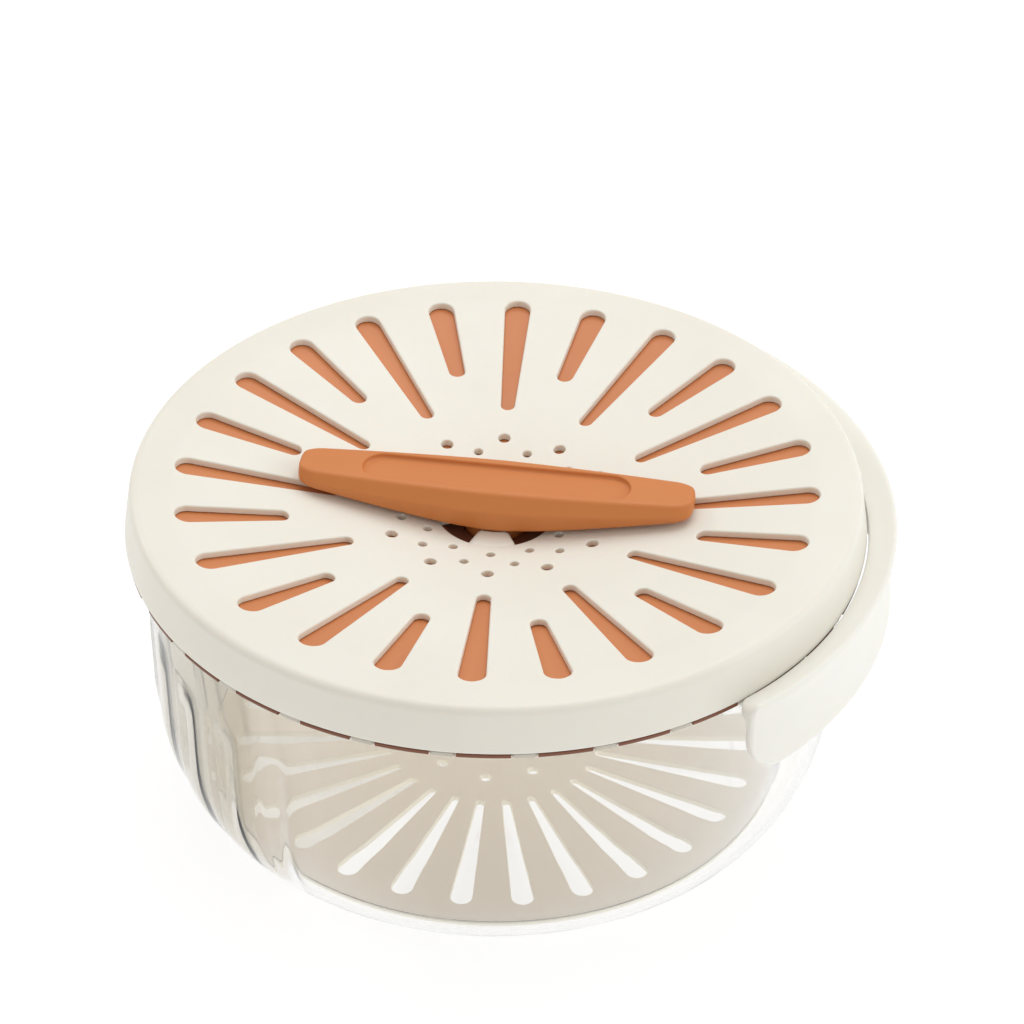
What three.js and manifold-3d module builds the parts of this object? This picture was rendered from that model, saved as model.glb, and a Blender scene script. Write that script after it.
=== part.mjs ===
// A crank-top salad spinner: a clear bowl with a side handle, a clear-walled spinning basket
// with a slotted floor, and a two-layer lid that carries the turning bar and its step-up gears.
// Millimetres, +Z up. The origin is the centre of the bowl's flat base; +X runs through the
// middle of the side handle.
import * as THREE from 'three';
import { mergeVertices } from 'three/addons/utils/BufferGeometryUtils.js';
import Module from 'manifold-3d';

const wasm = await Module();
wasm.setup();

const DEG = Math.PI / 180;

// ---- Driving dimensions ---------------------------------------------------------------------
// Clearances
const gap = 0.3; // between pieces that touch or are pressed together
const slideGap = 0.4; // between pieces that lift apart or nest
const turnGap = 0.6; // round pieces that turn past fixed ones

// Facets
const handleTurn = 72; // facets round a full turn of the side handle
const fineTurn = 48;
const coarseTurn = 32;
const middleTurn = 24;
const smallTurn = 12;
const holeTurn = 6;
const screwTurn = 8;
const endFacets = 2; // steps in each quarter of a slot's round end
const cornerSteps = 5; // steps round the bowl's corner
const sectorFacets = 4; // steps in each half of a sector's arc
const flatTolerance = 0.002;
const through = 1; // how far a cutter passes the face it cuts

// Bowl
const bowlRimRadius = 126;
const bowlRimZ = 117;
const bowlBaseRadius = 98;
const bowlWall = 2.5;
const bowlCornerHeight = 49; // height of the rounded corner above the base
const bowlTaper = 2; // how far the wall leans out from the corner to the rim
const gripRibCount = 9; // moulded ribs on the side away from the handle
const gripRibPitch = 11.5; // degrees between ribs
const gripRibHalfWidth = 6;
const gripRibHalfDepth = 1.9;
const gripRibProud = 1; // how far a rib stands out of the wall
const gripRibFoot = 3; // from the corner up to the ribs
const gripRibHead = 30; // from the ribs up to the rim

// Pivot of the basket on the bowl
const pivotRadius = 3;
const pivotLength = 8;
const pivotChamfer = 1;
const pivotBossRadius = 7;
const pivotBossHeight = 2.6;
const cupWall = 4.7;
const cupFloor = 2;
const cupChamfer = 1.5;

// Basket
const basketFloorZ = 9.3; // top of the slotted floor
const basketFloorThickness = 2.2;
const basketFloorClearance = 1.6; // from the floor's edge to the bowl
const basketRimClearance = 7.5; // from the wall's top to the bowl
const basketRimDrop = 17; // from the bowl's rim down to the basket's
const basketWall = 2;
const basketFlange = 2.6;
const floorBorder = 10.5; // from the floor's edge to its slots
const floorSlotCount = 27;
const floorSlotPhase = 3.9; // angle of the first slot
const floorSlotInner = 39;
const floorSlotInnerWidth = 2.8;
const floorSlotOuterWidth = 7.7;
const floorHoleCount = 9;
const floorHolePhase = 17.25;
const floorHoleRing = 26;
const floorHoleRadius = 2;
const drainWindowCount = 18;
const drainWindowWidth = 18;
const drainWindowHeight = 3.4;
const drainWindowDrop = 5.7; // from the basket's rim to the middle of the windows

// Lid
const lidRise = 7; // from the bowl's rim up to the lid's flat rim
const lidOverhang = 4.5; // from the bowl's rim out to the lid's shoulder
const lidEdgeRadius = 3;
const lidSkirtHeight = 17.4;
const lidDraft = 2; // how far the skirt leans out
const lidSkirtWall = 2.2;
const lidSkin = 2.5;
const lidInnerBevel = 2.2; // inside corner between the top and the skirt
const lidFlatRim = 12.5; // from the dish to the rounded edge
const dishDepth = 17.5;
const tabCount = 4;
const tabAngle = 46;
const tabReach = 8.5; // how far a tab reaches into the opening
const tabStep = 0.2;
const tabGap = 1; // between a tab and the bar's boss
const slotCount = 24;
const slotPhase = -9.75; // angle of the first long slot
const longSlotInner = 56;
const shortSlotInner = 74.6;
const slotOuterWidth = 9.6;
const longSlotInnerWidth = 5;
const shortSlotInnerWidth = 6;
const ventRings = [
  { radius: 41, hole: 2.2, phase: 0 },
  { radius: 34.3, hole: 1.65, phase: 15 },
  { radius: 27, hole: 1.65, phase: 0 },
];
const ventCount = 12;

// Inner lid
const innerSkin = 2;
const innerLipInset = 0.5; // from the cover's skirt in to the lip
const innerLipHeight = 1.6;
const innerSkirtFlare = 2; // how far the skirt opens below the bowl's rim
const rimSeatWidth = 3.5;
const notchCount = 30;
const notchAngle = 4;
const notchPhase = 4.65;
const notchDepth = 1.9;
const lugSink = 0.6; // how far the bowl's lugs stand below the notches
const collarWidth = 2.9;
const washerThickness = 1;

// Turning bar
const barHalfLength = 71;
const barProud = 1; // top of the bar above the lid's rim
const bossRadius = 11.5;
const barMidHalfWidth = 15;
const barEndHalfWidth = 9.6;
const barMidChamfer = 4.6;
const barEndChamfer = 2.8;
const barMidChamferDrop = 6;
const barEndChamferDrop = 3.6;
const barLift = 1.8; // clear height of the bar over the dish
const barAngle = -14.5; // where the bar points at rest
const barEndRound = 7;
const recessHalfLength = 48;
const recessHalfWidth = 7.3;
const recessDepth = 1.8;
const driveSquare = 12; // square that carries the turn from the bar to the ring gear
const driveSquareDepth = 6;

// Gear train
const gearModule = 1.5;
const sunTeeth = 15;
const planetTeeth = 18;
const planetCount = 3;
const backlash = 0.4;
const toothTip = 1; // tooth height above the pitch circle, in modules
const toothRoot = 1.25; // tooth depth below the pitch circle, in modules
const ringToothTip = 0.9;
const gearFace = 6;
const ringDrop = 5.5; // from the dish's lowest point to the ring gear's plate
const ringPlate = 2.5;
const ringRim = 2.6;
const planetPinRadius = 2.5;
const planetPinHead = 0.6;
const pinSocketFloor = 1.2;
const pinSocketWall = 2.5;
const sunShaftRadius = 4.5;
const shaftSquare = 7;

// Gear housing
const housingDepth = 17.5; // from the flange's top down to the cup's floor
const housingWall = 2;
const housingFlangeWidth = 9;
const housingBossDrop = 2.5;
const housingScrewCount = 4;
const housingScrewPhase = 45;
const bushWall = 2.9;
const bushFlangeWidth = 2.5;
const bushFlange = 0.5;

// Drive plate
const hubRadius = 11;
const hubHeight = 7;
const plateThickness = 2;
const plateKneeRadius = 54;
const plateRimDrop = 3.7; // from the basket's rim down to the plate's underside
const plateRimWidth = 4.4;
const windowCount = 6;
const windowAngle = 46;
const windowBorder = 3;
const tongueWidth = 8;
const tongueReach = 1; // past the basket's wall

// Side handle
const handleReach = 10.5; // from the lid's skirt out to the handle's lip
const handleBandThickness = 4.2;
const handleTopDrop = 12; // from the lid's rim down to the handle's top
const handleHeight = 32;
const handleHalfAngle = 58.4;
const handleEndRound = 17; // lower corner of each end
const handleLidGap = 0.5; // from the lid's skirt to the handle's flange
const handleFlangeThickness = 3.4;
const handleTopFall = 4.4; // how far the top slopes down towards the lid
const handleFaceRecess = 2;
const handleFootRecess = 0.6;
const handlePadAngle = 4.5; // half angle of each pad
const handlePadInset = 12.2; // angle from the handle's end to the middle of a pad
const handlePadFoot = 5; // from the handle's lower edge up to its pads

// Screws
const screwShaft = 1.5;
const screwHead = 3.2;
const screwHeadHeight = 2;
const barScrewHead = 4.9;
const plateScrewHead = 4.2;

// ---- Values that follow ---------------------------------------------------------------------
// Bowl
const cornerReach = bowlRimRadius - bowlTaper - bowlBaseRadius;
const bowlOuterAt = (z) => {
  if (z >= bowlCornerHeight) {
    return bowlRimRadius - (bowlTaper * (bowlRimZ - z)) / (bowlRimZ - bowlCornerHeight);
  }
  const fall = (bowlCornerHeight - z) / bowlCornerHeight;
  return bowlBaseRadius + cornerReach * Math.sqrt(1 - fall * fall);
};
const bowlInnerAt = (z) => {
  if (z >= bowlCornerHeight) return bowlOuterAt(z) - bowlWall;
  const fall = (bowlCornerHeight - z) / (bowlCornerHeight - bowlWall);
  return bowlBaseRadius + (cornerReach - bowlWall) * Math.sqrt(1 - fall * fall);
};
const pivotBossTopZ = bowlWall + pivotBossHeight;
const pivotFootZ = bowlWall + 2 * gap;

// Lid
const lidRimZ = bowlRimZ + lidRise;
const lidShoulderRadius = bowlRimRadius + lidOverhang;
const lidTopRadius = lidShoulderRadius - lidEdgeRadius; // where the rounded edge starts
const lidShoulderZ = lidRimZ - lidEdgeRadius;
const lidBottomRadius = lidShoulderRadius + lidDraft;
const lidSkirtBottomZ = lidRimZ - lidSkirtHeight;
const dishRadius = lidTopRadius - lidFlatRim;
const dishLowZ = lidRimZ - dishDepth;
const dishZ = (radius) => lidRimZ - dishDepth * (1 - Math.min(radius, dishRadius) / dishRadius);
const bossOpening = bossRadius + turnGap;
const tabInnerRadius = bossRadius + tabGap;
const openingRadius = tabInnerRadius + tabReach;
const innerLidDrop = lidSkin + slideGap; // inner lid's top below the cover's top
const innerLipTopZ = lidSkirtBottomZ - slideGap;
const innerSkirtBottomZ = innerLipTopZ - innerLipHeight;

// Basket
const basketRimZ = bowlRimZ - basketRimDrop;
const basketFootZ = basketFloorZ + gap;
const basketFloorBottomZ = basketFloorZ - basketFloorThickness;
const basketFloorRadius = bowlInnerAt(basketFloorBottomZ) - basketFloorClearance;
const basketRimRadius = bowlInnerAt(basketRimZ) - basketRimClearance;
const basketOuterAt = (z) => {
  const rise = (z - basketFootZ) / (basketRimZ - basketFootZ);
  return basketFloorRadius + (basketRimRadius - basketFloorRadius) * rise;
};
const basketInnerAt = (z) => basketOuterAt(z) - basketWall;
const cupRadius = pivotRadius + gap + cupWall;

// Gear train and housing, downwards from the dish
const ringTeeth = sunTeeth + 2 * planetTeeth;
const pitchRadius = (teeth) => (gearModule * teeth) / 2;
const planetOrbit = pitchRadius(sunTeeth) + pitchRadius(planetTeeth);
const ringRootRadius = pitchRadius(ringTeeth) + toothRoot * gearModule;
const ringOuterRadius = ringRootRadius + ringRim;
const ringPlateTopZ = dishLowZ - ringDrop - 1;
const ringPlateBottomZ = ringPlateTopZ - ringPlate;
const collarBottomZ = ringPlateTopZ + washerThickness + 2 * gap;
const housingFlangeZ = dishLowZ - slideGap - 0.1;
const housingFloorTopZ = housingFlangeZ - housingDepth;
const housingFloorZ = housingFloorTopZ - housingWall;
const housingBossZ = housingFloorZ - housingBossDrop;
const gearBottomZ = housingFloorTopZ + 2 * turnGap;
const gearTopZ = gearBottomZ + gap + gearFace;
const housingInner = ringOuterRadius + 2 * turnGap;
const housingOuter = housingInner + housingWall;
const housingScrewRing = housingOuter + housingFlangeWidth / 2;
const bushRadius = sunShaftRadius + gap + bushWall;
const bushFlangeRadius = bushRadius + bushFlangeWidth;
const bushTopZ = housingFloorTopZ + gap + bushFlange;
const sunGearBottomZ = bushTopZ + gap;
const sunGearTopZ = sunGearBottomZ + gearFace - 1;

// Drive plate
const hubTopZ = housingBossZ - 1;
const hubBottomZ = hubTopZ - hubHeight;
const plateRimZ = basketRimZ - plateRimDrop; // underside of the plate's rim
const plateRimRadius = basketInnerAt(plateRimZ) - turnGap;

// Side handle
const handleOuterRadius = lidBottomRadius + handleReach;
const handleFlangeInner = lidBottomRadius + handleLidGap;
const handleTopZ = lidRimZ - handleTopDrop;
const handleBottomZ = handleTopZ - handleHeight;
const handlePadBottomZ = handleBottomZ + handlePadFoot;
const handlePadTopZ = innerSkirtBottomZ - 2 * turnGap;
const padScrewZ = (handlePadTopZ + handlePadBottomZ) / 2;
const padAngles = [handleHalfAngle - handlePadInset, handlePadInset - handleHalfAngle];

// ---- Geometry helpers -----------------------------------------------------------------------
// Merges shared vertices, drops collapsed triangles and turns the faces outwards.
function closed(geometry) {
  let source = geometry.clone();
  for (const name of Object.keys(source.attributes)) {
    if (name !== 'position') source.deleteAttribute(name);
  }
  source = mergeVertices(source, 1e-4);
  const position = source.attributes.position;
  const index = source.index.array;
  const kept = [];
  let volume = 0;
  const [a, b, c] = [new THREE.Vector3(), new THREE.Vector3(), new THREE.Vector3()];
  for (let i = 0; i < index.length; i += 3) {
    const [p, q, r] = [index[i], index[i + 1], index[i + 2]];
    if (p === q || q === r || r === p) continue;
    kept.push(p, q, r);
    a.fromBufferAttribute(position, p);
    b.fromBufferAttribute(position, q);
    c.fromBufferAttribute(position, r);
    volume += a.dot(b.cross(c)) / 6;
  }
  if (volume < 0) kept.reverse();
  source.setIndex(kept);
  return source;
}

function toSolid(geometry) {
  const source = closed(geometry);
  return new wasm.Manifold(
    new wasm.Mesh({
      numProp: 3,
      vertProperties: new Float32Array(source.attributes.position.array),
      triVerts: new Uint32Array(source.index.array),
    }),
  );
}

// Flat faces are merged back into as few triangles as they need.
function toGeometry(solid) {
  const mesh = solid.asOriginal().simplify(flatTolerance).getMesh();
  const geometry = new THREE.BufferGeometry();
  geometry.setAttribute('position', new THREE.BufferAttribute(new Float32Array(mesh.vertProperties), 3));
  geometry.setIndex(new THREE.BufferAttribute(new Uint32Array(mesh.triVerts), 1));
  return geometry;
}

const joinAll = (first, ...others) => others.reduce((whole, next) => whole.add(next), first);
const cutAll = (first, ...others) => others.reduce((whole, next) => whole.subtract(next), first);

// A profile of [radius, z] points turned about Z. It closes on itself unless it meets the axis.
function turned(profile, facets = fineTurn) {
  const points = profile.map(([radius, z]) => new THREE.Vector2(radius, z));
  const onAxis = points[0].x === 0 && points[points.length - 1].x === 0;
  if (!onAxis) points.push(points[0].clone());
  return toSolid(new THREE.LatheGeometry(points, facets).rotateX(Math.PI / 2));
}

function cylinder(radius, bottom, top, facets = smallTurn) {
  const geometry = new THREE.CylinderGeometry(radius, radius, top - bottom, facets);
  geometry.rotateX(Math.PI / 2).translate(0, 0, (top + bottom) / 2);
  return toSolid(geometry);
}

function block(width, depth, bottom, top, x = 0, y = 0) {
  const geometry = new THREE.BoxGeometry(width, depth, top - bottom);
  return toSolid(geometry.translate(x, y, (top + bottom) / 2));
}

function extruded(shape, bottom, top, curveSegments = 4) {
  const geometry = new THREE.ExtrudeGeometry(shape, {
    depth: top - bottom,
    bevelEnabled: false,
    curveSegments,
  });
  return toSolid(geometry.translate(0, 0, bottom));
}

const about = (solid, degrees) => solid.rotate([0, 0, degrees]);
const moved = (solid, x, y, z = 0) => solid.translate([x, y, z]);

// A radial slot with round ends that widens from its inner to its outer end.
function radialSlot(inner, outer, innerWidth, outerWidth, bottom, top) {
  const [small, large] = [innerWidth / 2, outerWidth / 2];
  const shape = new THREE.Shape();
  shape.absarc(outer - large, 0, large, -Math.PI / 2, Math.PI / 2, false);
  shape.absarc(inner + small, 0, small, Math.PI / 2, (3 * Math.PI) / 2, false);
  return extruded(shape, bottom, top, endFacets);
}

// A ring sector centred on +X.
function sector(inner, outer, degrees, bottom, top, facets = sectorFacets) {
  const half = (degrees / 2) * DEG;
  const shape = new THREE.Shape();
  shape.absarc(0, 0, outer, -half, half, false);
  shape.absarc(0, 0, inner, half, -half, true);
  return extruded(shape, bottom, top, facets);
}

function arcPoints(centre, radius, from, to, steps) {
  return Array.from({ length: steps + 1 }, (_, step) => {
    const angle = (from + ((to - from) * step) / steps) * DEG;
    return [centre[0] + radius[0] * Math.cos(angle), centre[1] + radius[1] * Math.sin(angle)];
  });
}

// ---- Gears ----------------------------------------------------------------------------------
const pressureAngle = 20 * DEG;
const involute = (angle) => Math.tan(angle) - angle;

// Half the angle of a tooth at a radius, thinned or thickened by the allowance at pitch radius.
function toothHalfAngle(teeth, radius, allowance) {
  const pitch = pitchRadius(teeth);
  const base = pitch * Math.cos(pressureAngle);
  const local = Math.acos(Math.min(1, base / Math.max(radius, base)));
  return Math.PI / (2 * teeth) - allowance / (2 * pitch) + involute(pressureAngle) - involute(local);
}

function gearOutline(teeth, rootRadius, tipRadius, allowance) {
  const path = new THREE.Shape();
  const rootHalf = toothHalfAngle(teeth, rootRadius, allowance);
  const tipHalf = toothHalfAngle(teeth, tipRadius, allowance);
  for (let tooth = 0; tooth < teeth; tooth += 1) {
    const middle = (2 * Math.PI * tooth) / teeth;
    const corners = [
      [rootRadius, middle - rootHalf],
      [tipRadius, middle - tipHalf],
      [tipRadius, middle + tipHalf],
      [rootRadius, middle + rootHalf],
    ];
    corners.forEach(([radius, angle], corner) => {
      const [x, y] = [radius * Math.cos(angle), radius * Math.sin(angle)];
      if (tooth === 0 && corner === 0) path.moveTo(x, y);
      else path.lineTo(x, y);
    });
  }
  path.closePath();
  return path;
}

function externalGear(teeth, bottom, top) {
  const root = pitchRadius(teeth) - toothRoot * gearModule;
  const tip = pitchRadius(teeth) + toothTip * gearModule;
  return extruded(gearOutline(teeth, root, tip, backlash / 2), bottom, top);
}

// ---- Bowl -----------------------------------------------------------------------------------
function bowl() {
  const corner = [bowlBaseRadius, bowlCornerHeight];
  const innerRadii = [cornerReach - bowlWall, bowlCornerHeight - bowlWall];
  const outer = arcPoints(corner, [cornerReach, bowlCornerHeight], -90, 0, cornerSteps);
  const inner = arcPoints(corner, innerRadii, 0, -90, cornerSteps);
  const shell = turned([
    [0, 0],
    ...outer,
    [bowlRimRadius, bowlRimZ],
    [bowlRimRadius - bowlWall, bowlRimZ],
    ...inner,
    [pivotBossRadius, bowlWall],
    [pivotBossRadius, pivotBossTopZ],
    [0, pivotBossTopZ],
  ]);
  const ribBottom = bowlCornerHeight + gripRibFoot;
  const ribTop = bowlRimZ - gripRibHead;
  const lean = Math.atan2(bowlTaper, bowlRimZ - bowlCornerHeight) / DEG;
  const foot = bowlOuterAt(ribBottom) + gripRibProud - gripRibHalfDepth;
  const ribs = [];
  for (let rib = 0; rib < gripRibCount; rib += 1) {
    const angle = 180 + (rib - (gripRibCount - 1) / 2) * gripRibPitch;
    const round = cylinder(1, 0, ribTop - ribBottom, smallTurn);
    const bar = round.scale([gripRibHalfDepth, gripRibHalfWidth, 1]).rotate([0, lean, 0]);
    ribs.push(about(moved(bar, foot, 0, ribBottom), angle));
  }
  const lugs = [];
  for (let lug = 0; lug < notchCount; lug += 1) {
    const lugAngle = notchAngle - (2 * gap) / lidBottomRadius / DEG;
    const [low, high] = [innerSkirtBottomZ - lugSink, innerSkirtBottomZ + notchDepth - gap];
    const solid = sector(bowlRimRadius - bowlWall / 2, lidBottomRadius - 1, lugAngle, low, high, 1);
    lugs.push(about(solid, notchPhase + (360 * lug) / notchCount));
  }
  const pivotHole = cylinder(pivotRadius + gap, bowlWall + gap, pivotBossTopZ + 1);
  const screwHoles = padAngles.map((angle) =>
    padBore(screwShaft + gap, bowlBaseRadius, bowlRimRadius + through, angle),
  );
  return cutAll(joinAll(shell, ...ribs, ...lugs), pivotHole, ...screwHoles);
}

function bowlPivotPin() {
  const top = pivotFootZ + pivotLength;
  return turned(
    [
      [0, pivotFootZ],
      [pivotRadius, pivotFootZ],
      [pivotRadius, top - pivotChamfer],
      [pivotRadius - pivotChamfer, top],
      [0, top],
    ],
    smallTurn,
  );
}

// ---- Side handle ----------------------------------------------------------------------------
// A radial bore from one radius to another at the handle's screw height.
function padBore(radius, inner, outer, angle) {
  const bore = new THREE.CylinderGeometry(radius, radius, outer - inner, screwTurn);
  bore.rotateZ(Math.PI / 2).translate((inner + outer) / 2, 0, padScrewZ);
  return about(toSolid(bore), angle);
}

function sideHandle() {
  const inner = handleOuterRadius - handleBandThickness;
  const face = handleOuterRadius - handleFaceRecess;
  const underFlange = handleTopZ - handleFlangeThickness;
  const profile = [
    [inner, handleBottomZ + 1],
    [inner + 1, handleBottomZ],
    [handleOuterRadius - handleFootRecess, handleBottomZ],
    [face, handleBottomZ + handleHeight / 3],
    [face, underFlange - handleFaceRecess],
    [handleOuterRadius, underFlange],
    [handleOuterRadius, handleTopZ - 1],
    [handleOuterRadius - 1, handleTopZ],
    [handleFlangeInner, handleTopZ - handleTopFall],
    [handleFlangeInner, underFlange - handleTopFall],
    [inner, underFlange - handleTopFall / 2],
  ];
  const [within, beyond] = [bowlBaseRadius, handleOuterRadius + 5];
  const roundZ = handleBottomZ + handleEndRound;
  const roundAngle = handleHalfAngle - handleEndRound / handleOuterRadius / DEG;
  const upper = sector(within, beyond, 2 * handleHalfAngle, roundZ, handleTopZ + 5, 8);
  const lower = sector(within, beyond, 2 * roundAngle, handleBottomZ - 5, roundZ + 1, 8);
  const ends = [-1, 1].map((side) => {
    const round = new THREE.CylinderGeometry(handleEndRound, handleEndRound, beyond - within, middleTurn);
    round.rotateZ(Math.PI / 2).translate((within + beyond) / 2, 0, roundZ);
    return about(toSolid(round), side * roundAngle);
  });
  const band = turned(profile, handleTurn).intersect(joinAll(upper, lower, ...ends));
  const pads = padAngles.map((angle) => {
    const padInner = bowlRimRadius + gap;
    const pad = sector(padInner, inner + 1, 2 * handlePadAngle, handlePadBottomZ, handlePadTopZ);
    return about(pad, angle);
  });
  const bores = padAngles.map((angle) => padBore(screwShaft + gap, within, inner + 1, angle));
  return cutAll(joinAll(band, ...pads), ...bores);
}

// A screw with its head inside the bowl and its shank reaching out into the handle's pad.
function padScrew(angle) {
  const wallInner = bowlOuterAt(padScrewZ) - bowlWall;
  const headOuter = wallInner - 2 * gap;
  const shankEnd = handleOuterRadius - handleBandThickness;
  const shank = padBore(screwShaft, headOuter - 1, shankEnd, angle);
  const head = padBore(screwHead, headOuter - screwHeadHeight, headOuter, angle);
  return shank.add(head);
}

// ---- Basket ---------------------------------------------------------------------------------
function basketFloor() {
  const bottom = basketFloorBottomZ;
  const disc = turned([
    [cupRadius + gap, bottom],
    [basketFloorRadius - 1, bottom],
    [basketFloorRadius, bottom + 1],
    [basketFloorRadius, basketFloorZ],
    [cupRadius + gap, basketFloorZ],
  ]);
  const cuts = [];
  for (let slot = 0; slot < floorSlotCount; slot += 1) {
    const cutter = radialSlot(
      floorSlotInner,
      basketFloorRadius - floorBorder,
      floorSlotInnerWidth,
      floorSlotOuterWidth,
      bottom - 1,
      basketFloorZ + 1,
    );
    cuts.push(about(cutter, floorSlotPhase + (360 * slot) / floorSlotCount));
  }
  for (let hole = 0; hole < floorHoleCount; hole += 1) {
    const cutter = cylinder(floorHoleRadius, bottom - 1, basketFloorZ + 1, holeTurn);
    const angle = floorHolePhase + (360 * hole) / floorHoleCount;
    cuts.push(about(moved(cutter, floorHoleRing, 0), angle));
  }
  return cutAll(disc, ...cuts);
}

function basketBody() {
  const flangeZ = basketRimZ - basketWall;
  const wall = turned([
    [basketOuterAt(basketFootZ), basketFootZ],
    [basketOuterAt(flangeZ), flangeZ],
    [basketOuterAt(flangeZ) + basketFlange, flangeZ],
    [basketOuterAt(flangeZ) + basketFlange, basketRimZ],
    [basketInnerAt(basketRimZ), basketRimZ],
    [basketInnerAt(basketFootZ), basketFootZ],
  ]);
  const cuts = [];
  const windowZ = basketRimZ - drainWindowDrop;
  const wallRadius = basketOuterAt(windowZ);
  for (let window = 0; window < drainWindowCount; window += 1) {
    const cutter = block(
      20,
      drainWindowWidth,
      windowZ - drainWindowHeight / 2,
      windowZ + drainWindowHeight / 2,
      wallRadius,
    );
    cuts.push(about(cutter, (360 * (window + 0.5)) / drainWindowCount));
  }
  for (let notch = 0; notch < windowCount; notch += 1) {
    const width = tongueWidth + 2 * turnGap;
    const cutter = block(20, width, plateRimZ - turnGap, basketRimZ + 1, basketRimRadius);
    cuts.push(about(cutter, (360 * notch) / windowCount));
  }
  return cutAll(wall, ...cuts);
}

function basketPivotCup() {
  const bottom = pivotBossTopZ + turnGap;
  const ceiling = pivotFootZ + pivotLength + gap;
  const top = ceiling + cupFloor;
  const bore = pivotRadius + gap;
  return turned(
    [
      [0, ceiling],
      [bore, ceiling],
      [bore, bottom],
      [cupRadius, bottom],
      [cupRadius, top - cupChamfer],
      [cupRadius - cupChamfer, top],
      [0, top],
    ],
    smallTurn,
  );
}

// ---- Lid cover ------------------------------------------------------------------------------
function lidCover() {
  const underside = lidRimZ - lidSkin;
  const shell = turned([
    [openingRadius, dishZ(openingRadius)],
    [dishRadius, lidRimZ],
    ...arcPoints([lidTopRadius, lidShoulderZ], [lidEdgeRadius, lidEdgeRadius], 90, 0, 4),
    [lidBottomRadius, lidSkirtBottomZ],
    [lidBottomRadius - lidSkirtWall, lidSkirtBottomZ],
    [lidShoulderRadius - lidSkirtWall, underside - lidInnerBevel],
    [lidShoulderRadius - lidSkirtWall - lidInnerBevel, underside],
    [dishRadius, underside],
    [openingRadius, dishZ(openingRadius) - lidSkin],
  ]);
  const cuts = [];
  for (let slot = 0; slot < slotCount; slot += 1) {
    const long = slot % 2 === 0;
    const cutter = radialSlot(
      long ? longSlotInner : shortSlotInner,
      dishRadius,
      long ? longSlotInnerWidth : shortSlotInnerWidth,
      slotOuterWidth,
      dishLowZ - lidSkin - 1,
      lidRimZ + 1,
    );
    cuts.push(about(cutter, slotPhase + (360 * slot) / slotCount));
  }
  for (const ring of ventRings) {
    for (let hole = 0; hole < ventCount; hole += 1) {
      const cutter = cylinder(ring.hole, dishLowZ - lidSkin - 1, lidRimZ, holeTurn);
      const angle = slotPhase + ring.phase + (360 * hole) / ventCount;
      cuts.push(about(moved(cutter, ring.radius, 0), angle));
    }
  }
  const tabs = [];
  const tabTop = dishZ(openingRadius) + tabStep;
  for (let tab = 0; tab < tabCount; tab += 1) {
    const step = sector(tabInnerRadius, openingRadius + 0.8, tabAngle, tabTop - lidSkin, tabTop, 2);
    tabs.push(about(step, slotPhase + (360 * tab) / tabCount));
  }
  return joinAll(cutAll(shell, ...cuts), ...tabs);
}

// ---- Inner lid ------------------------------------------------------------------------------
function innerLid() {
  const top = (radius) => dishZ(radius) - innerLidDrop;
  const bottom = (radius) => top(radius) - innerSkin;
  const skirtOuter = lidBottomRadius - lidSkirtWall - slideGap;
  const shoulder = lidShoulderRadius - lidSkirtWall - slideGap;
  const lipRadius = lidBottomRadius - innerLipInset;
  const seatInner = bowlRimRadius + slideGap - rimSeatWidth;
  const rimSeatZ = bowlRimZ + gap;
  const shell = turned([
    [bossOpening, top(bossOpening)],
    [dishRadius, top(dishRadius)],
    [shoulder - lidInnerBevel, top(dishRadius)],
    [shoulder, top(dishRadius) - lidInnerBevel],
    [skirtOuter, lidSkirtBottomZ],
    [skirtOuter, innerLipTopZ],
    [lipRadius, innerLipTopZ],
    [lipRadius, innerSkirtBottomZ],
    [bowlRimRadius + innerSkirtFlare, innerSkirtBottomZ],
    [bowlRimRadius + slideGap, rimSeatZ],
    [seatInner, rimSeatZ],
    [seatInner - 0.6, bottom(dishRadius)],
    [dishRadius, bottom(dishRadius)],
    [bossOpening + collarWidth, bottom(bossOpening + collarWidth)],
    [bossOpening + collarWidth, collarBottomZ],
    [bossOpening, collarBottomZ],
  ]);
  const bosses = [];
  const cuts = [];
  for (let screw = 0; screw < housingScrewCount; screw += 1) {
    const angle = housingScrewPhase + (360 * screw) / housingScrewCount;
    const bossTop = bottom(housingScrewRing) + innerSkin / 2;
    const boss = cylinder(housingFlangeWidth / 2 - 0.3, housingFlangeZ + gap, bossTop, smallTurn);
    const pilot = cylinder(screwShaft + gap, housingFlangeZ - 1, bossTop - 0.5, holeTurn);
    bosses.push(about(moved(boss, housingScrewRing, 0), angle));
    cuts.push(about(moved(pilot, housingScrewRing, 0), angle));
  }
  for (let notch = 0; notch < notchCount; notch += 1) {
    const cutter = sector(
      bowlRimRadius - 2,
      lidBottomRadius + 3,
      notchAngle,
      innerSkirtBottomZ - 2,
      innerSkirtBottomZ + notchDepth,
      1,
    );
    cuts.push(about(cutter, notchPhase + (360 * notch) / notchCount));
  }
  return cutAll(joinAll(shell, ...bosses), ...cuts);
}

// ---- Turning bar ----------------------------------------------------------------------------
const barTopZ = lidRimZ + barProud;
const barUndersideZ = (x) => dishZ(Math.hypot(x, barMidHalfWidth)) + barLift;

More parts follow.
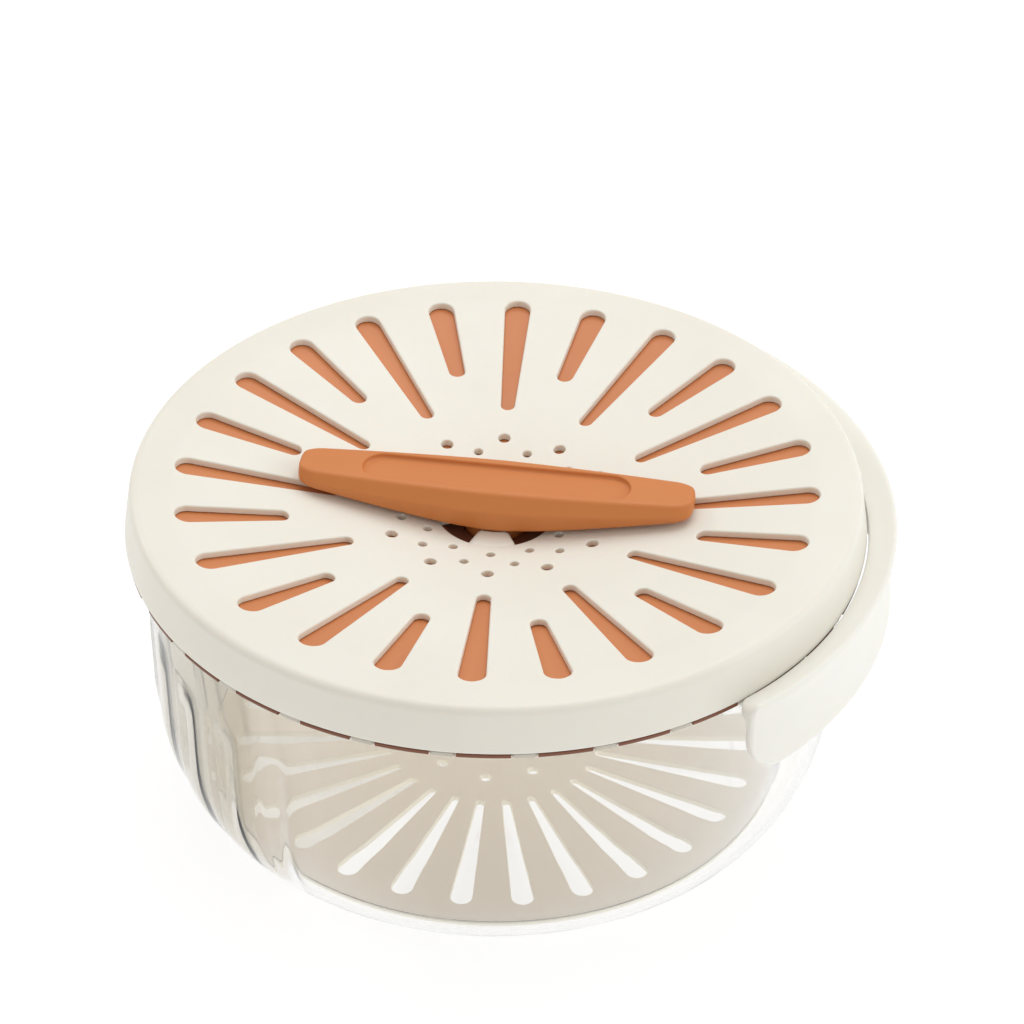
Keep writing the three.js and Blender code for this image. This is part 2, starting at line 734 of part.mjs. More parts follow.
function barBody() {
  const steps = 18;
  const mix = (middle, end, share) => middle + (end - middle) * share;
  // Section corners as [side, level]: level 0 is the underside, 1 the foot of the chamfer,
  // 2 the top face.
  const section = [[-0.94, 0], [0.94, 0], [1, 1], [1, 2], [-1, 2], [-1, 1]];
  const shape = new THREE.Shape(section.map(([side, level]) => new THREE.Vector2(side, level)));
  const geometry = new THREE.ExtrudeGeometry(shape, { depth: 1, steps, bevelEnabled: false });
  const position = geometry.attributes.position;
  for (let i = 0; i < position.count; i += 1) {
    const side = position.getX(i);
    const level = Math.round(position.getY(i));
    const along = -Math.cos(Math.PI * position.getZ(i)); // closer steps towards the ends
    const x = along * barHalfLength;
    const share = Math.abs(along) ** 1.6;
    const fromTip = Math.min(1, (barHalfLength - Math.abs(x)) / barEndRound);
    const tipRound = Math.sqrt(1 - (1 - fromTip) ** 2);
    const halfWidth = mix(barMidHalfWidth, barEndHalfWidth, share) * mix(0.45, 1, tipRound);
    const chamfer = mix(barMidChamfer, barEndChamfer, share) * mix(0.45, 1, tipRound);
    const drop = mix(barMidChamferDrop, barEndChamferDrop, share);
    const width = level === 2 ? halfWidth - chamfer : halfWidth;
    const underside = barUndersideZ(x);
    const heights = [underside, Math.max(barTopZ - drop, underside + 0.8), barTopZ];
    position.setXYZ(i, x, side * width, heights[level]);
  }
  return toSolid(geometry);
}

function handleBar() {
  const recess = new THREE.Shape();
  const straight = recessHalfLength - recessHalfWidth;
  recess.absarc(straight, 0, recessHalfWidth, -Math.PI / 2, Math.PI / 2, false);
  recess.absarc(-straight, 0, recessHalfWidth, Math.PI / 2, (3 * Math.PI) / 2, false);
  const pocketTop = ringPlateTopZ + driveSquareDepth;
  const square = driveSquare + 2 * gap;
  const turnedBar = cutAll(
    joinAll(barBody(), cylinder(bossRadius, ringPlateTopZ + gap, barUndersideZ(0) + 3, coarseTurn)),
    extruded(recess, barTopZ - recessDepth, barTopZ + 1, 8),
    block(square, square, ringPlateTopZ - 1, pocketTop),
    cylinder(screwShaft + 2 * gap, ringPlateTopZ, barUndersideZ(0) + 2, holeTurn),
  );
  return about(turnedBar, barAngle);
}

// ---- Gear train -----------------------------------------------------------------------------
function ringGear() {
  const squareTop = ringPlateTopZ + driveSquareDepth - gap;
  const body = joinAll(
    cylinder(ringOuterRadius, gearBottomZ, ringPlateTopZ, coarseTurn),
    about(block(driveSquare, driveSquare, ringPlateTopZ - 1, squareTop), barAngle),
  );
  const tip = pitchRadius(ringTeeth) - ringToothTip * gearModule;
  const spaces = gearOutline(ringTeeth, tip, ringRootRadius, -backlash / 2);
  const hollow = extruded(spaces, gearBottomZ - 1, ringPlateBottomZ);
  const screwHole = cylinder(screwShaft + 2 * gap, gearBottomZ, housingFlangeZ + 5, holeTurn);
  return cutAll(body, hollow, screwHole);
}

function planetGear(index) {
  const gear = externalGear(planetTeeth, gearBottomZ + gap, gearTopZ);
  const bored = gear.subtract(cylinder(planetPinRadius + gap, gearBottomZ - 1, ringPlateTopZ, smallTurn));
  const angle = (360 * index) / planetCount;
  return about(moved(bored, planetOrbit, 0), angle);
}

function planetPin(index) {
  const bottom = housingBossZ + pinSocketFloor + gap;
  const pin = cylinder(planetPinRadius, bottom, gearTopZ + planetPinHead, smallTurn);
  return about(moved(pin, planetOrbit, 0), (360 * index) / planetCount);
}

function sunPinion() {
  const halfPitch = 180 / sunTeeth;
  return cutAll(
    joinAll(
      about(externalGear(sunTeeth, sunGearBottomZ, sunGearTopZ), halfPitch),
      cylinder(sunShaftRadius, hubTopZ, sunGearBottomZ + 1, middleTurn),
      block(shaftSquare, shaftSquare, hubBottomZ + plateThickness + gap, hubTopZ + 0.5),
    ),
    cylinder(screwShaft + gap, hubBottomZ - 1, hubTopZ + 3, holeTurn),
  );
}

function shaftBush() {
  const bottom = housingBossZ;
  const flangeBottom = housingFloorTopZ + gap;
  const bore = sunShaftRadius + gap;
  return turned(
    [
      [bore, bottom],
      [bushRadius, bottom],
      [bushRadius, flangeBottom],
      [bushFlangeRadius, flangeBottom],
      [bushFlangeRadius, bushTopZ],
      [bore, bushTopZ],
    ],
    2 * screwTurn,
  );
}

function thrustWasher() {
  const bottom = ringPlateTopZ + gap;
  const top = collarBottomZ - gap;
  const outer = bossOpening + collarWidth;
  const bore = bossRadius + gap;
  return turned([[bore, bottom], [outer, bottom], [outer, top], [bore, top]], middleTurn);
}

function gearHousing() {
  const flangeOuter = housingOuter + housingFlangeWidth;
  const flangeBottom = housingFlangeZ - housingWall;
  const cup = turned(
    [
      [bushRadius + gap, housingBossZ],
      [bushFlangeRadius + 1, housingBossZ],
      [bushFlangeRadius + 1, housingFloorZ],
      [housingOuter, housingFloorZ],
      [housingOuter, flangeBottom],
      [flangeOuter, flangeBottom],
      [flangeOuter, housingFlangeZ],
      [housingInner, housingFlangeZ],
      [housingInner, housingFloorTopZ],
      [bushRadius + gap, housingFloorTopZ],
    ],
    coarseTurn,
  );
  const bosses = [];
  const cuts = [];
  for (let planet = 0; planet < planetCount; planet += 1) {
    const angle = (360 * planet) / planetCount;
    const boss = cylinder(planetPinRadius + pinSocketWall, housingBossZ, housingFloorZ + 0.5, smallTurn);
    const socketZ = housingBossZ + pinSocketFloor;
    const hole = cylinder(planetPinRadius + gap, socketZ, housingFloorTopZ + 1, smallTurn);
    bosses.push(about(moved(boss, planetOrbit, 0), angle));
    cuts.push(about(moved(hole, planetOrbit, 0), angle));
  }
  for (let screw = 0; screw < housingScrewCount; screw += 1) {
    const hole = cylinder(screwShaft + gap, flangeBottom - 1, housingFlangeZ + 1, holeTurn);
    const angle = housingScrewPhase + (360 * screw) / housingScrewCount;
    cuts.push(about(moved(hole, housingScrewRing, 0), angle));
  }
  return cutAll(joinAll(cup, ...bosses), ...cuts);
}

// A screw driven upwards, its head's underside at the given height.
function upScrew(headTop, shankTop, headRadius = screwHead) {
  return turned(
    [
      [0, headTop - screwHeadHeight],
      [headRadius, headTop - screwHeadHeight],
      [headRadius, headTop],
      [screwShaft, headTop],
      [screwShaft, shankTop],
      [0, shankTop],
    ],
    screwTurn,
  );
}

function housingScrew(index) {
  const headTop = housingFlangeZ - housingWall - gap;
  const shankTop = dishZ(housingScrewRing) - innerLidDrop - innerSkin;
  const screw = upScrew(headTop, shankTop);
  return about(moved(screw, housingScrewRing, 0), housingScrewPhase + (360 * index) / housingScrewCount);
}

// ---- Drive plate ----------------------------------------------------------------------------
function drivePlate() {
  const kneeZ = hubBottomZ + plateThickness;
  const rimInner = plateRimRadius - plateRimWidth;
  const rimTop = plateRimZ + plateThickness;
  const body = turned([
    [0, hubBottomZ],
    [plateKneeRadius, hubBottomZ + 1],
    [rimInner, plateRimZ],
    [plateRimRadius, plateRimZ],
    [plateRimRadius, rimTop],
    [rimInner, rimTop],
    [plateKneeRadius, kneeZ + 1],
    [hubRadius, kneeZ],
    [hubRadius, hubTopZ - turnGap],
    [0, hubTopZ - turnGap],
  ], coarseTurn);
  const tongues = [];
  const cuts = [];
  const reach = basketRimRadius + tongueReach - (plateRimRadius - 2);
  for (let spoke = 0; spoke < windowCount; spoke += 1) {
    const angle = (360 * spoke) / windowCount;
    const tongue = block(reach, tongueWidth, plateRimZ, rimTop, plateRimRadius - 2 + reach / 2);
    tongues.push(about(tongue, angle));
    const [from, to] = [hubRadius + 8, rimInner - windowBorder];
    const window = sector(from, to, windowAngle, hubBottomZ - 1, rimTop + 1, 3);
    cuts.push(about(window, angle + 180 / windowCount));
  }
  const square = shaftSquare + 2 * gap;
  cuts.push(block(square, square, kneeZ, hubTopZ + 1));
  cuts.push(cylinder(screwShaft + gap, hubBottomZ - 1, hubTopZ, holeTurn));
  return cutAll(joinAll(body, ...tongues), ...cuts);
}

// ---- Materials ------------------------------------------------------------------------------
const plastic = (color, roughness) => new THREE.MeshStandardMaterial({ color, roughness, metalness: 0 });
const steel = () => new THREE.MeshStandardMaterial({ color: 0xb9bcc0, roughness: 0.35, metalness: 1 });
const clear = () =>
  new THREE.MeshStandardMaterial({ color: 0xe9edee, roughness: 0.05, transparent: true, opacity: 0.3 });
const ivory = () => plastic(0xf0ede5, 0.45);
const orange = () => plastic(0xc67c4a, 0.5);
const gearWhite = () => plastic(0xdedbd2, 0.4);

// ---- Assembly -------------------------------------------------------------------------------
const spinner = new THREE.Group();

function place(name, solid, material) {
  const mesh = new THREE.Mesh(toGeometry(solid), material);
  mesh.name = name;
  spinner.add(mesh);
}

place('bowl', bowl(), clear());
place('bowl_pivot_pin', bowlPivotPin(), steel());
place('side_handle', sideHandle(), ivory());
place('side_handle_screw_left', padScrew(padAngles[0]), steel());
place('side_handle_screw_right', padScrew(padAngles[1]), steel());
place('basket_body', basketBody(), clear());
place('basket_floor', basketFloor(), ivory());
place('basket_pivot_cup', basketPivotCup(), gearWhite());
place('lid_cover', lidCover(), ivory());
place('inner_lid', innerLid(), orange());
place('gear_housing', gearHousing(), ivory());
place('shaft_bush', shaftBush(), gearWhite());
for (let screw = 0; screw < housingScrewCount; screw += 1) {
  place(`housing_screw_${screw + 1}`, housingScrew(screw), steel());
}
for (let planet = 0; planet < planetCount; planet += 1) {
  place(`planet_pin_${planet + 1}`, planetPin(planet), steel());
  place(`planet_gear_${planet + 1}`, planetGear(planet), gearWhite());
}
place('turning_bar', handleBar(), orange());
place('thrust_washer', thrustWasher(), gearWhite());
place('ring_gear', ringGear(), gearWhite());
place(
  'turning_bar_screw',
  upScrew(ringPlateBottomZ - gap, barUndersideZ(0) + 1, barScrewHead),
  steel(),
);
place('sun_pinion', sunPinion(), gearWhite());
place('drive_plate', drivePlate(), ivory());
place('drive_plate_screw', upScrew(hubBottomZ - gap, hubTopZ + 2, plateScrewHead), steel());

export default spinner;
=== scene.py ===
"""Looks of the salad spinner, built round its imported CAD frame. Sizes are in millimetres, scaled by MM."""
import math

import bmesh
import bpy
from mathutils import Matrix, Vector


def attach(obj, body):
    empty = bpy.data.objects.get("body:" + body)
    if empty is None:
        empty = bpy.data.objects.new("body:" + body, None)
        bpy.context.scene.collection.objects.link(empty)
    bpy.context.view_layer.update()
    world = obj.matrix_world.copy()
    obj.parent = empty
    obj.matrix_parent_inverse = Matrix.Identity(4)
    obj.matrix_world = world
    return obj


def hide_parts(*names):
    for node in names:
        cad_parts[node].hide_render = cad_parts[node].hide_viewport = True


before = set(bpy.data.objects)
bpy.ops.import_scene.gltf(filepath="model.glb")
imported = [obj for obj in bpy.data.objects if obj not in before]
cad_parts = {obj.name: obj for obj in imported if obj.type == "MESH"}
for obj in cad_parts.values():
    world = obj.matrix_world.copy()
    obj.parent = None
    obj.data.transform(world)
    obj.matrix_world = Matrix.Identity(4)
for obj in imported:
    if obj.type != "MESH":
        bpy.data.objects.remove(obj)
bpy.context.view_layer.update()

MM = 0.001
TAU = 2 * math.pi
FINE = 288  # facets round a large piece
SMALL = 48  # facets round a small piece

# ---- Sizes shared with the CAD part ---------------------------------------------------------
GAP, SLIDE_GAP, TURN_GAP = 0.3, 0.4, 0.6

BOWL_RIM_R, BOWL_RIM_Z, BOWL_BASE_R = 126, 117, 98
BOWL_WALL, BOWL_CORNER, BOWL_TAPER = 2.5, 49, 2
RIB_COUNT, RIB_PITCH, RIB_HALF_ANGLE, RIB_PROUD = 9, 11.5, 2.7, 0.75
RIB_FOOT, RIB_HEAD = 10, 80
GRIP_HALF = 42  # half angle of the grip with painted dark reflections
PIVOT_R, PIVOT_BOSS_R, PIVOT_BOSS_H = 3, 7, 2.6

BASKET_FLOOR_Z, BASKET_FLOOR_T, BASKET_WALL = 9.3, 2.2, 2
FLOOR_SLOTS, FLOOR_SLOT_PHASE, FLOOR_SLOT_IN, FLOOR_SLOT_W = 27, 3.9, 39, (2.8, 7.7)
FLOOR_HOLES, FLOOR_HOLE_PHASE, FLOOR_HOLE_RING, FLOOR_HOLE_R = 9, 17.25, 26, 2

LID_RIM_Z, LID_SHOULDER_R, LID_DRAFT = 124, 130.5, 2
LID_SKIRT_Z, LID_SKIRT_T, LID_SKIN = 106.6, 2.2, 2.5
DISH_R, DISH_DEPTH, OPENING_R = 115, 17.5, 21
TABS, TAB_ANGLE, TAB_INNER = 4, 46, 12.5
SLOTS, SLOT_PHASE, SLOT_OUT_W = 24, -9.75, 9.6
LONG_SLOT, SHORT_SLOT = (56, 5), (74.6, 6)  # inner end and width there
VENTS = ((41, 2.2, 0), (34.3, 1.65, 15), (27, 1.65, 0))  # ring, hole radius, phase
VENT_COUNT = 12
NOTCHES, NOTCH_ANGLE, NOTCH_PHASE = 30, 4, 4.65

BAR_HALF, BAR_TOP, BAR_MID, BOSS_R, BAR_ANGLE = 71, 125, 15, 11.5, -14.5

BASE_Z = BOWL_WALL + 2 * GAP
LID_BOTTOM_R = LID_SHOULDER_R + LID_DRAFT
INNER_LIP_Z = LID_SKIRT_Z - SLIDE_GAP
INNER_BOTTOM_Z = INNER_LIP_Z - 1.6
DISH_LOW_Z = LID_RIM_Z - DISH_DEPTH


def bowl_outer(z):
    if z >= BOWL_CORNER:
        return BOWL_RIM_R - BOWL_TAPER * (BOWL_RIM_Z - z) / (BOWL_RIM_Z - BOWL_CORNER)
    fall = (BOWL_CORNER - z) / BOWL_CORNER
    return BOWL_BASE_R + (BOWL_RIM_R - BOWL_TAPER - BOWL_BASE_R) * math.sqrt(max(0, 1 - fall * fall))


def bowl_inner(z):
    if z >= BOWL_CORNER:
        return bowl_outer(z) - BOWL_WALL
    fall = (BOWL_CORNER - z) / (BOWL_CORNER - BOWL_WALL)
    reach = BOWL_RIM_R - BOWL_TAPER - BOWL_BASE_R - BOWL_WALL
    return BOWL_BASE_R + reach * math.sqrt(max(0, 1 - fall * fall))


BASKET_RIM_Z = BOWL_RIM_Z - 17
BASKET_FOOT_Z = BASKET_FLOOR_Z + GAP
BASKET_FLOOR_R = bowl_inner(BASKET_FLOOR_Z - BASKET_FLOOR_T) - 1.6
BASKET_RIM_R = bowl_inner(BASKET_RIM_Z) - 7.5


def basket_outer(z):
    share = (z - BASKET_FOOT_Z) / (BASKET_RIM_Z - BASKET_FOOT_Z)
    return BASKET_FLOOR_R + (BASKET_RIM_R - BASKET_FLOOR_R) * share


def dish(radius):
    return LID_RIM_Z - DISH_DEPTH * (1 - min(radius, DISH_R) / DISH_R)


HOUSING_FLANGE_Z = DISH_LOW_Z - 0.5
HOUSING_TOP_FLOOR = HOUSING_FLANGE_Z - 17.5
HOUSING_FLOOR_Z = HOUSING_TOP_FLOOR - 2
HOUSING_BOSS_Z = HOUSING_FLOOR_Z - 2.5
HOUSING_R = 45.925
HUB_TOP = HOUSING_BOSS_Z - 1
HUB_BOTTOM = HUB_TOP - 7
PLATE_Z = BASKET_RIM_Z - 3.7
PLATE_R = basket_outer(PLATE_Z) - BASKET_WALL - TURN_GAP
HANDLE_R, HANDLE_TOP, HANDLE_H, HANDLE_HALF = LID_BOTTOM_R + 10.5, LID_RIM_Z - 12, 32, 58.4
HANDLE_LID_GAP = 0.5
HANDLE_LOW = HANDLE_TOP - HANDLE_H
PAD_ANGLE = HANDLE_HALF - 12.2
PAD_Z = (HANDLE_LOW + 5, INNER_BOTTOM_Z - 2 * TURN_GAP)
PAD_SCREW_Z = sum(PAD_Z) / 2


# ---- Mesh helpers ---------------------------------------------------------------------------
def mix(a, b, share):
    return a + (b - a) * share


def smoothstep(low, high, value):
    t = min(1, max(0, (value - low) / (high - low)))
    return t * t * (3 - 2 * t)


def polar(radius, degrees):
    return radius * math.cos(math.radians(degrees)), radius * math.sin(math.radians(degrees))


def make_object(name, points, faces):
    mesh = bpy.data.meshes.new(name)
    mesh.from_pydata([(x * MM, y * MM, z * MM) for x, y, z in points], [], faces)
    work = bmesh.new()
    work.from_mesh(mesh)
    bmesh.ops.recalc_face_normals(work, faces=work.faces)
    work.to_mesh(mesh)
    work.free()
    obj = bpy.data.objects.new(name, mesh)
    bpy.context.scene.collection.objects.link(obj)
    return obj


def rounded(corners, steps=5):
    """A closed outline whose corners (x, y, radius) are rounded."""
    outline = []
    for i, (x, y, radius) in enumerate(corners):
        if radius <= 0:
            outline.append((x, y))
            continue
        before, after = corners[i - 1], corners[(i + 1) % len(corners)]
        legs = []
        for other in (before, after):
            length = math.hypot(other[0] - x, other[1] - y)
            reach = min(radius, length * 0.49) / length
            legs.append((x + (other[0] - x) * reach, y + (other[1] - y) * reach))
        for k in range(steps + 1):
            u = k / steps
            a, b, c = (1 - u) ** 2, 2 * u * (1 - u), u * u
            outline.append((a * legs[0][0] + b * x + c * legs[1][0], a * legs[0][1] + b * y + c * legs[1][1]))
    return outline


def lathe(name, profile, segments=FINE, shape=None):
    """Turns a closed (radius, z) outline about Z. shape(radius, z, degrees) may move each point."""
    points, rings = [], []
    for radius, z in profile:
        if radius < 1e-6:
            rings.append([len(points)])
            points.append((0, 0, z))
            continue
        rings.append(range(len(points), len(points) + segments))
        for s in range(segments):
            degrees = 360 * s / segments
            r, level = shape(radius, z, degrees) if shape else (radius, z)
            points.append((*polar(r, degrees), level))
    faces = []
    for i, low in enumerate(rings):
        high = rings[(i + 1) % len(rings)]
        if len(low) == len(high) == 1:
            continue
        for s in range(segments):
            t = (s + 1) % segments
            if len(low) == 1:
                faces.append((low[0], high[t], high[s]))
            elif len(high) == 1:
                faces.append((low[s], low[t], high[0]))
            else:
                faces.append((low[s], low[t], high[t], high[s]))
    return make_object(name, points, faces)


def loft(name, sections):
    """Joins closed sections of equal point count and caps both ends."""
    count = len(sections[0])
    points = [p for section in sections for p in section]
    faces = [tuple(reversed(range(count))), tuple(range(len(points) - count, len(points)))]
    for k in range(len(sections) - 1):
        for i in range(count):
            j = (i + 1) % count
            faces.append((k * count + i, k * count + j, (k + 1) * count + j, (k + 1) * count + i))
    return make_object(name, points, faces)


def slot_outline(inner, outer, inner_width, outer_width, degrees, steps=14):
    """A radial slot with round ends. Returns a function of how far the outline grows."""
    def outline(growth):
        points = []
        for centre, width, start in ((outer - outer_width / 2, outer_width, -90), (inner + inner_width / 2, inner_width, 90)):
            for k in range(steps + 1):
                x, y = polar(width / 2 + growth, start + 180 * k / steps)
                turn = math.radians(degrees)
                points.append((
                    (centre + x) * math.cos(turn) - y * math.sin(turn),
                    (centre + x) * math.sin(turn) + y * math.cos(turn),
                ))
        return points
    return outline


def hole_outline(ring, radius, degrees, steps=32):
    centre = polar(ring, degrees)
    def outline(growth):
        return [(centre[0] + x, centre[1] + y) for x, y in (polar(radius + growth, 360 * k / steps) for k in range(steps))]
    return outline


def sector_outline(inner, outer, half_angle, degrees, corner=1.5, steps=10):
    """A ring sector, its sides grown by the same distance all round."""
    def outline(growth):
        points = []
        for radius, sign in ((outer + growth, 1), (inner - growth, -1)):
            half = half_angle + math.degrees(growth / radius) - math.degrees(corner / radius)
            inset = corner * (1 if sign > 0 else -1)
            side = half_angle + math.degrees(growth / radius)
            edge = [(radius - inset, -side), (radius, -half)]
            edge += [(radius, mix(-half, half, k / steps)) for k in range(1, steps)]
            edge += [(radius, half), (radius - inset, side)]
            if sign < 0:
                edge.reverse()
            points += [polar(r, degrees + a) for r, a in edge]
        return points
    return outline


def edge_levels(radius, depth, above=0.6, steps=5):
    """Heights and growths of a cutter that leaves a rounded edge where it meets a surface."""
    levels = [(-depth, 0)]
    for k in range(steps + 1):
        turn = math.radians(78 * k / steps)
        levels.append((-radius + radius * math.sin(turn), radius * (1 - math.cos(turn))))
    height, growth = levels[-1]
    slope = math.tan(math.radians(78))
    levels.append((height + above, growth + above * slope))
    return levels


def cutter(outlines, levels, surface):
    """One closed solid for each outline, its levels measured from the surface."""
    points, faces = [], []
    for outline in outlines:
        start = len(points)
        for height, growth in levels:
            ring = outline(growth)
            points += [(x, y, surface(x, y) + height) for x, y in ring]
        count = len(ring)
        faces.append(tuple(reversed(range(start, start + count))))
        faces.append(tuple(range(start + (len(levels) - 1) * count, start + len(levels) * count)))
        for k in range(len(levels) - 1):
            for i in range(count):
                j = (i + 1) % count
                a = start + k * count
                faces.append((a + i, a + j, a + count + j, a + count + i))
    return make_object("cutter", points, faces)


def combine(obj, tool, operation="DIFFERENCE"):
    """Applies a Boolean and removes the tool."""
    modifier = obj.modifiers.new("combine", "BOOLEAN")
    modifier.operation = operation
    modifier.solver = "MANIFOLD"
    modifier.object = tool
    bpy.context.view_layer.update()
    mesh = bpy.data.meshes.new_from_object(obj.evaluated_get(bpy.context.evaluated_depsgraph_get()))
    obj.modifiers.remove(modifier)
    obj.data = mesh
    bpy.data.objects.remove(tool)
    return obj


def smooth(obj, degrees=32):
    obj.data.shade_smooth()
    obj.data.set_sharp_from_angle(angle=math.radians(degrees))
    weights = obj.modifiers.new("normals", "WEIGHTED_NORMAL")
    weights.keep_sharp = True
    weights.weight = 80
    return obj


def boxes(spans):
    """Closed boxes in one mesh, each (radius from, radius to, width, z from, z to, degrees)."""
    points, faces = [], []
    for near, far, width, low, high, degrees in spans:
        turn = math.radians(degrees)
        start = len(points)
        for z in (low, high):
            for x, y in ((near, -width / 2), (far, -width / 2), (far, width / 2), (near, width / 2)):
                points.append((x * math.cos(turn) - y * math.sin(turn), x * math.sin(turn) + y * math.cos(turn), z))
        for face in ((3, 2, 1, 0), (4, 5, 6, 7), (0, 1, 5, 4), (1, 2, 6, 5), (2, 3, 7, 6), (3, 0, 4, 7)):
            faces.append(tuple(start + i for i in face))
    return make_object("tool", points, faces)


# ---- Materials ------------------------------------------------------------------------------
def material(name):
    made = bpy.data.materials.new(name)
    made.use_nodes = True
    nodes, links = made.node_tree.nodes, made.node_tree.links
    place = nodes.new("ShaderNodeTexCoord").outputs["Object"]
    return made, nodes, links, nodes["Principled BSDF"], place


def noise(nodes, links, place, scale, detail=3, stretch=None):
    if stretch:
        mapping = nodes.new("ShaderNodeMapping")
        mapping.inputs["Scale"].default_value = stretch
        links.new(place, mapping.inputs["Vector"])
        place = mapping.outputs["Vector"]
    texture = nodes.new("ShaderNodeTexNoise")
    texture.inputs["Scale"].default_value = scale
    texture.inputs["Detail"].default_value = detail
    links.new(place, texture.inputs["Vector"])
    return texture.outputs["Fac"]


def spread(nodes, links, value, low, high):
    span = nodes.new("ShaderNodeMapRange")
    span.inputs["From Min"].default_value = 0.3
    span.inputs["From Max"].default_value = 0.7
    span.inputs["To Min"].default_value = low
    span.inputs["To Max"].default_value = high
    links.new(value, span.inputs["Value"])
    return span.outputs["Result"]


def two_tone(nodes, links, value, first, second):
    ramp = nodes.new("ShaderNodeValToRGB")
    ramp.color_ramp.elements[0].position = 0.3
    ramp.color_ramp.elements[1].position = 0.7
    ramp.color_ramp.elements[0].color = (*first, 1)
    ramp.color_ramp.elements[1].color = (*second, 1)
    links.new(value, ramp.inputs["Fac"])
    return ramp.outputs["Color"]


def relief(nodes, links, value, target, distance, strength=0.3):
    bump = nodes.new("ShaderNodeBump")
    bump.inputs["Strength"].default_value = strength
    bump.inputs["Distance"].default_value = distance
    links.new(value, bump.inputs["Height"])
    links.new(bump.outputs["Normal"], target)


def plastic(name, first, second, roughness, grain, glow=0.0, painted_glow=0.0):
    """Moulded plastic: faint colour drift, uneven gloss and a fine grain, with a faint warm emission that is painted
    light.
    """
    made, nodes, links, shader, place = material(name)
    links.new(two_tone(nodes, links, noise(nodes, links, place, 16), first, second), shader.inputs["Base Color"])
    gloss = spread(nodes, links, noise(nodes, links, place, 45, 4), *roughness)
    links.new(gloss, shader.inputs["Roughness"])
    relief(nodes, links, noise(nodes, links, place, grain, 2), shader.inputs["Normal"], 0.00006)
    shader.inputs["IOR"].default_value = 1.46
    shader.inputs["Subsurface Weight"].default_value = glow
    shader.inputs["Subsurface Radius"].default_value = (1.0, 0.7, 0.45)
    shader.inputs["Subsurface Scale"].default_value = 0.003
    # Painted light: the warm emission lifts faces that lie in shade, though the plastic is no lamp.
    shader.inputs["Emission Color"].default_value = (1, 0.92, 0.74, 1)
    shader.inputs["Emission Strength"].default_value = painted_glow
    return made


def shade_below(paint, height, colour):
    """Darkens a material below a height: the lip that always lies in the skirt's shade."""
    nodes, links = paint.node_tree.nodes, paint.node_tree.links
    shader = nodes["Principled BSDF"]
    source = shader.inputs["Base Color"].links[0].from_socket
    split = nodes.new("ShaderNodeSeparateXYZ")
    links.new(nodes["Texture Coordinate"].outputs["Object"], split.inputs["Vector"])
    step = nodes.new("ShaderNodeMapRange")
    step.inputs["From Min"].default_value = (height - 0.15) * MM
    step.inputs["From Max"].default_value = (height + 0.15) * MM
    links.new(split.outputs["Z"], step.inputs["Value"])
    blend = nodes.new("ShaderNodeMix")
    blend.data_type = "RGBA"
    blend.inputs["A"].default_value = (*colour, 1)
    links.new(step.outputs["Result"], blend.inputs["Factor"])
    links.new(source, blend.inputs["B"])
    links.new(blend.outputs["Result"], shader.inputs["Base Color"])


def paint_grip_reflections(nodes, links, place, clear, reflection_tone, dark):
    """Mixes painted reflections into the colour over the grip on the side away from the handle: a greyer tone broken
    by darker streaks, standing in for the dark reflections in the clear ribbed wall.
    """
    split = nodes.new("ShaderNodeSeparateXYZ")
    links.new(place, split.inputs["Vector"])
    turn = nodes.new("ShaderNodeMath")
    turn.operation = "ARCTAN2"
    links.new(split.outputs["Y"], turn.inputs[0])
    links.new(split.outputs["X"], turn.inputs[1])
    away = nodes.new("ShaderNodeMath")
    away.operation = "ABSOLUTE"
    links.new(turn.outputs["Value"], away.inputs[0])
    zone = nodes.new("ShaderNodeMapRange")
    zone.interpolation_type = "SMOOTHSTEP"
    zone.inputs["From Min"].default_value = math.radians(180 - GRIP_HALF - 4)
    zone.inputs["From Max"].default_value = math.radians(180 - GRIP_HALF + 4)
    links.new(away.outputs["Value"], zone.inputs["Value"])
    # Dark streaks: painted reflections, stretched along the height.
    streaks = noise(nodes, links, place, 30, 2, (1, 1, 0.12))
    depth = spread(nodes, links, streaks, 0.8, 1.0)
    share = nodes.new("ShaderNodeMath")
    share.operation = "MULTIPLY"
    links.new(zone.outputs["Result"], share.inputs[0])
    links.new(depth, share.inputs[1])
    blend = nodes.new("ShaderNodeMix")
    blend.data_type = "RGBA"
    links.new(share.outputs["Value"], blend.inputs["Factor"])
    links.new(clear, blend.inputs["A"])
    links.new(two_tone(nodes, links, noise(nodes, links, place, 17, 2, (1, 1, 0.3)), reflection_tone, dark), blend.inputs["B"])
    return blend.outputs["Result"]


def clear_plastic(name, first, second, wave, grip_reflections=None):
    """Clear moulded plastic with a faint flow in its surface, and painted dark reflections over the grip when they are
    given.
    """
    made, nodes, links, shader, place = material(name)
    colour = two_tone(nodes, links, noise(nodes, links, place, 9), first, second)
    if grip_reflections:
        colour = paint_grip_reflections(nodes, links, place, colour, *grip_reflections)
    links.new(colour, shader.inputs["Base Color"])
    links.new(spread(nodes, links, noise(nodes, links, place, 30), 0.0, 0.03), shader.inputs["Roughness"])
    flow = noise(nodes, links, place, 26, 1, (1, 1, 0.35))
    relief(nodes, links, flow, shader.inputs["Normal"], wave, 0.5)
    shader.inputs["IOR"].default_value = 1.47
    shader.inputs["Transmission Weight"].default_value = 1
    return made


def metal(name, colour, dark, roughness):
    made, nodes, links, shader, place = material(name)
    brushed = noise(nodes, links, place, 400, 2, (1, 1, 0.08))
    links.new(two_tone(nodes, links, brushed, dark, colour), shader.inputs["Base Color"])
    links.new(spread(nodes, links, brushed, *roughness), shader.inputs["Roughness"])
    relief(nodes, links, brushed, shader.inputs["Normal"], 0.00004)
    shader.inputs["Metallic"].default_value = 1
    return made
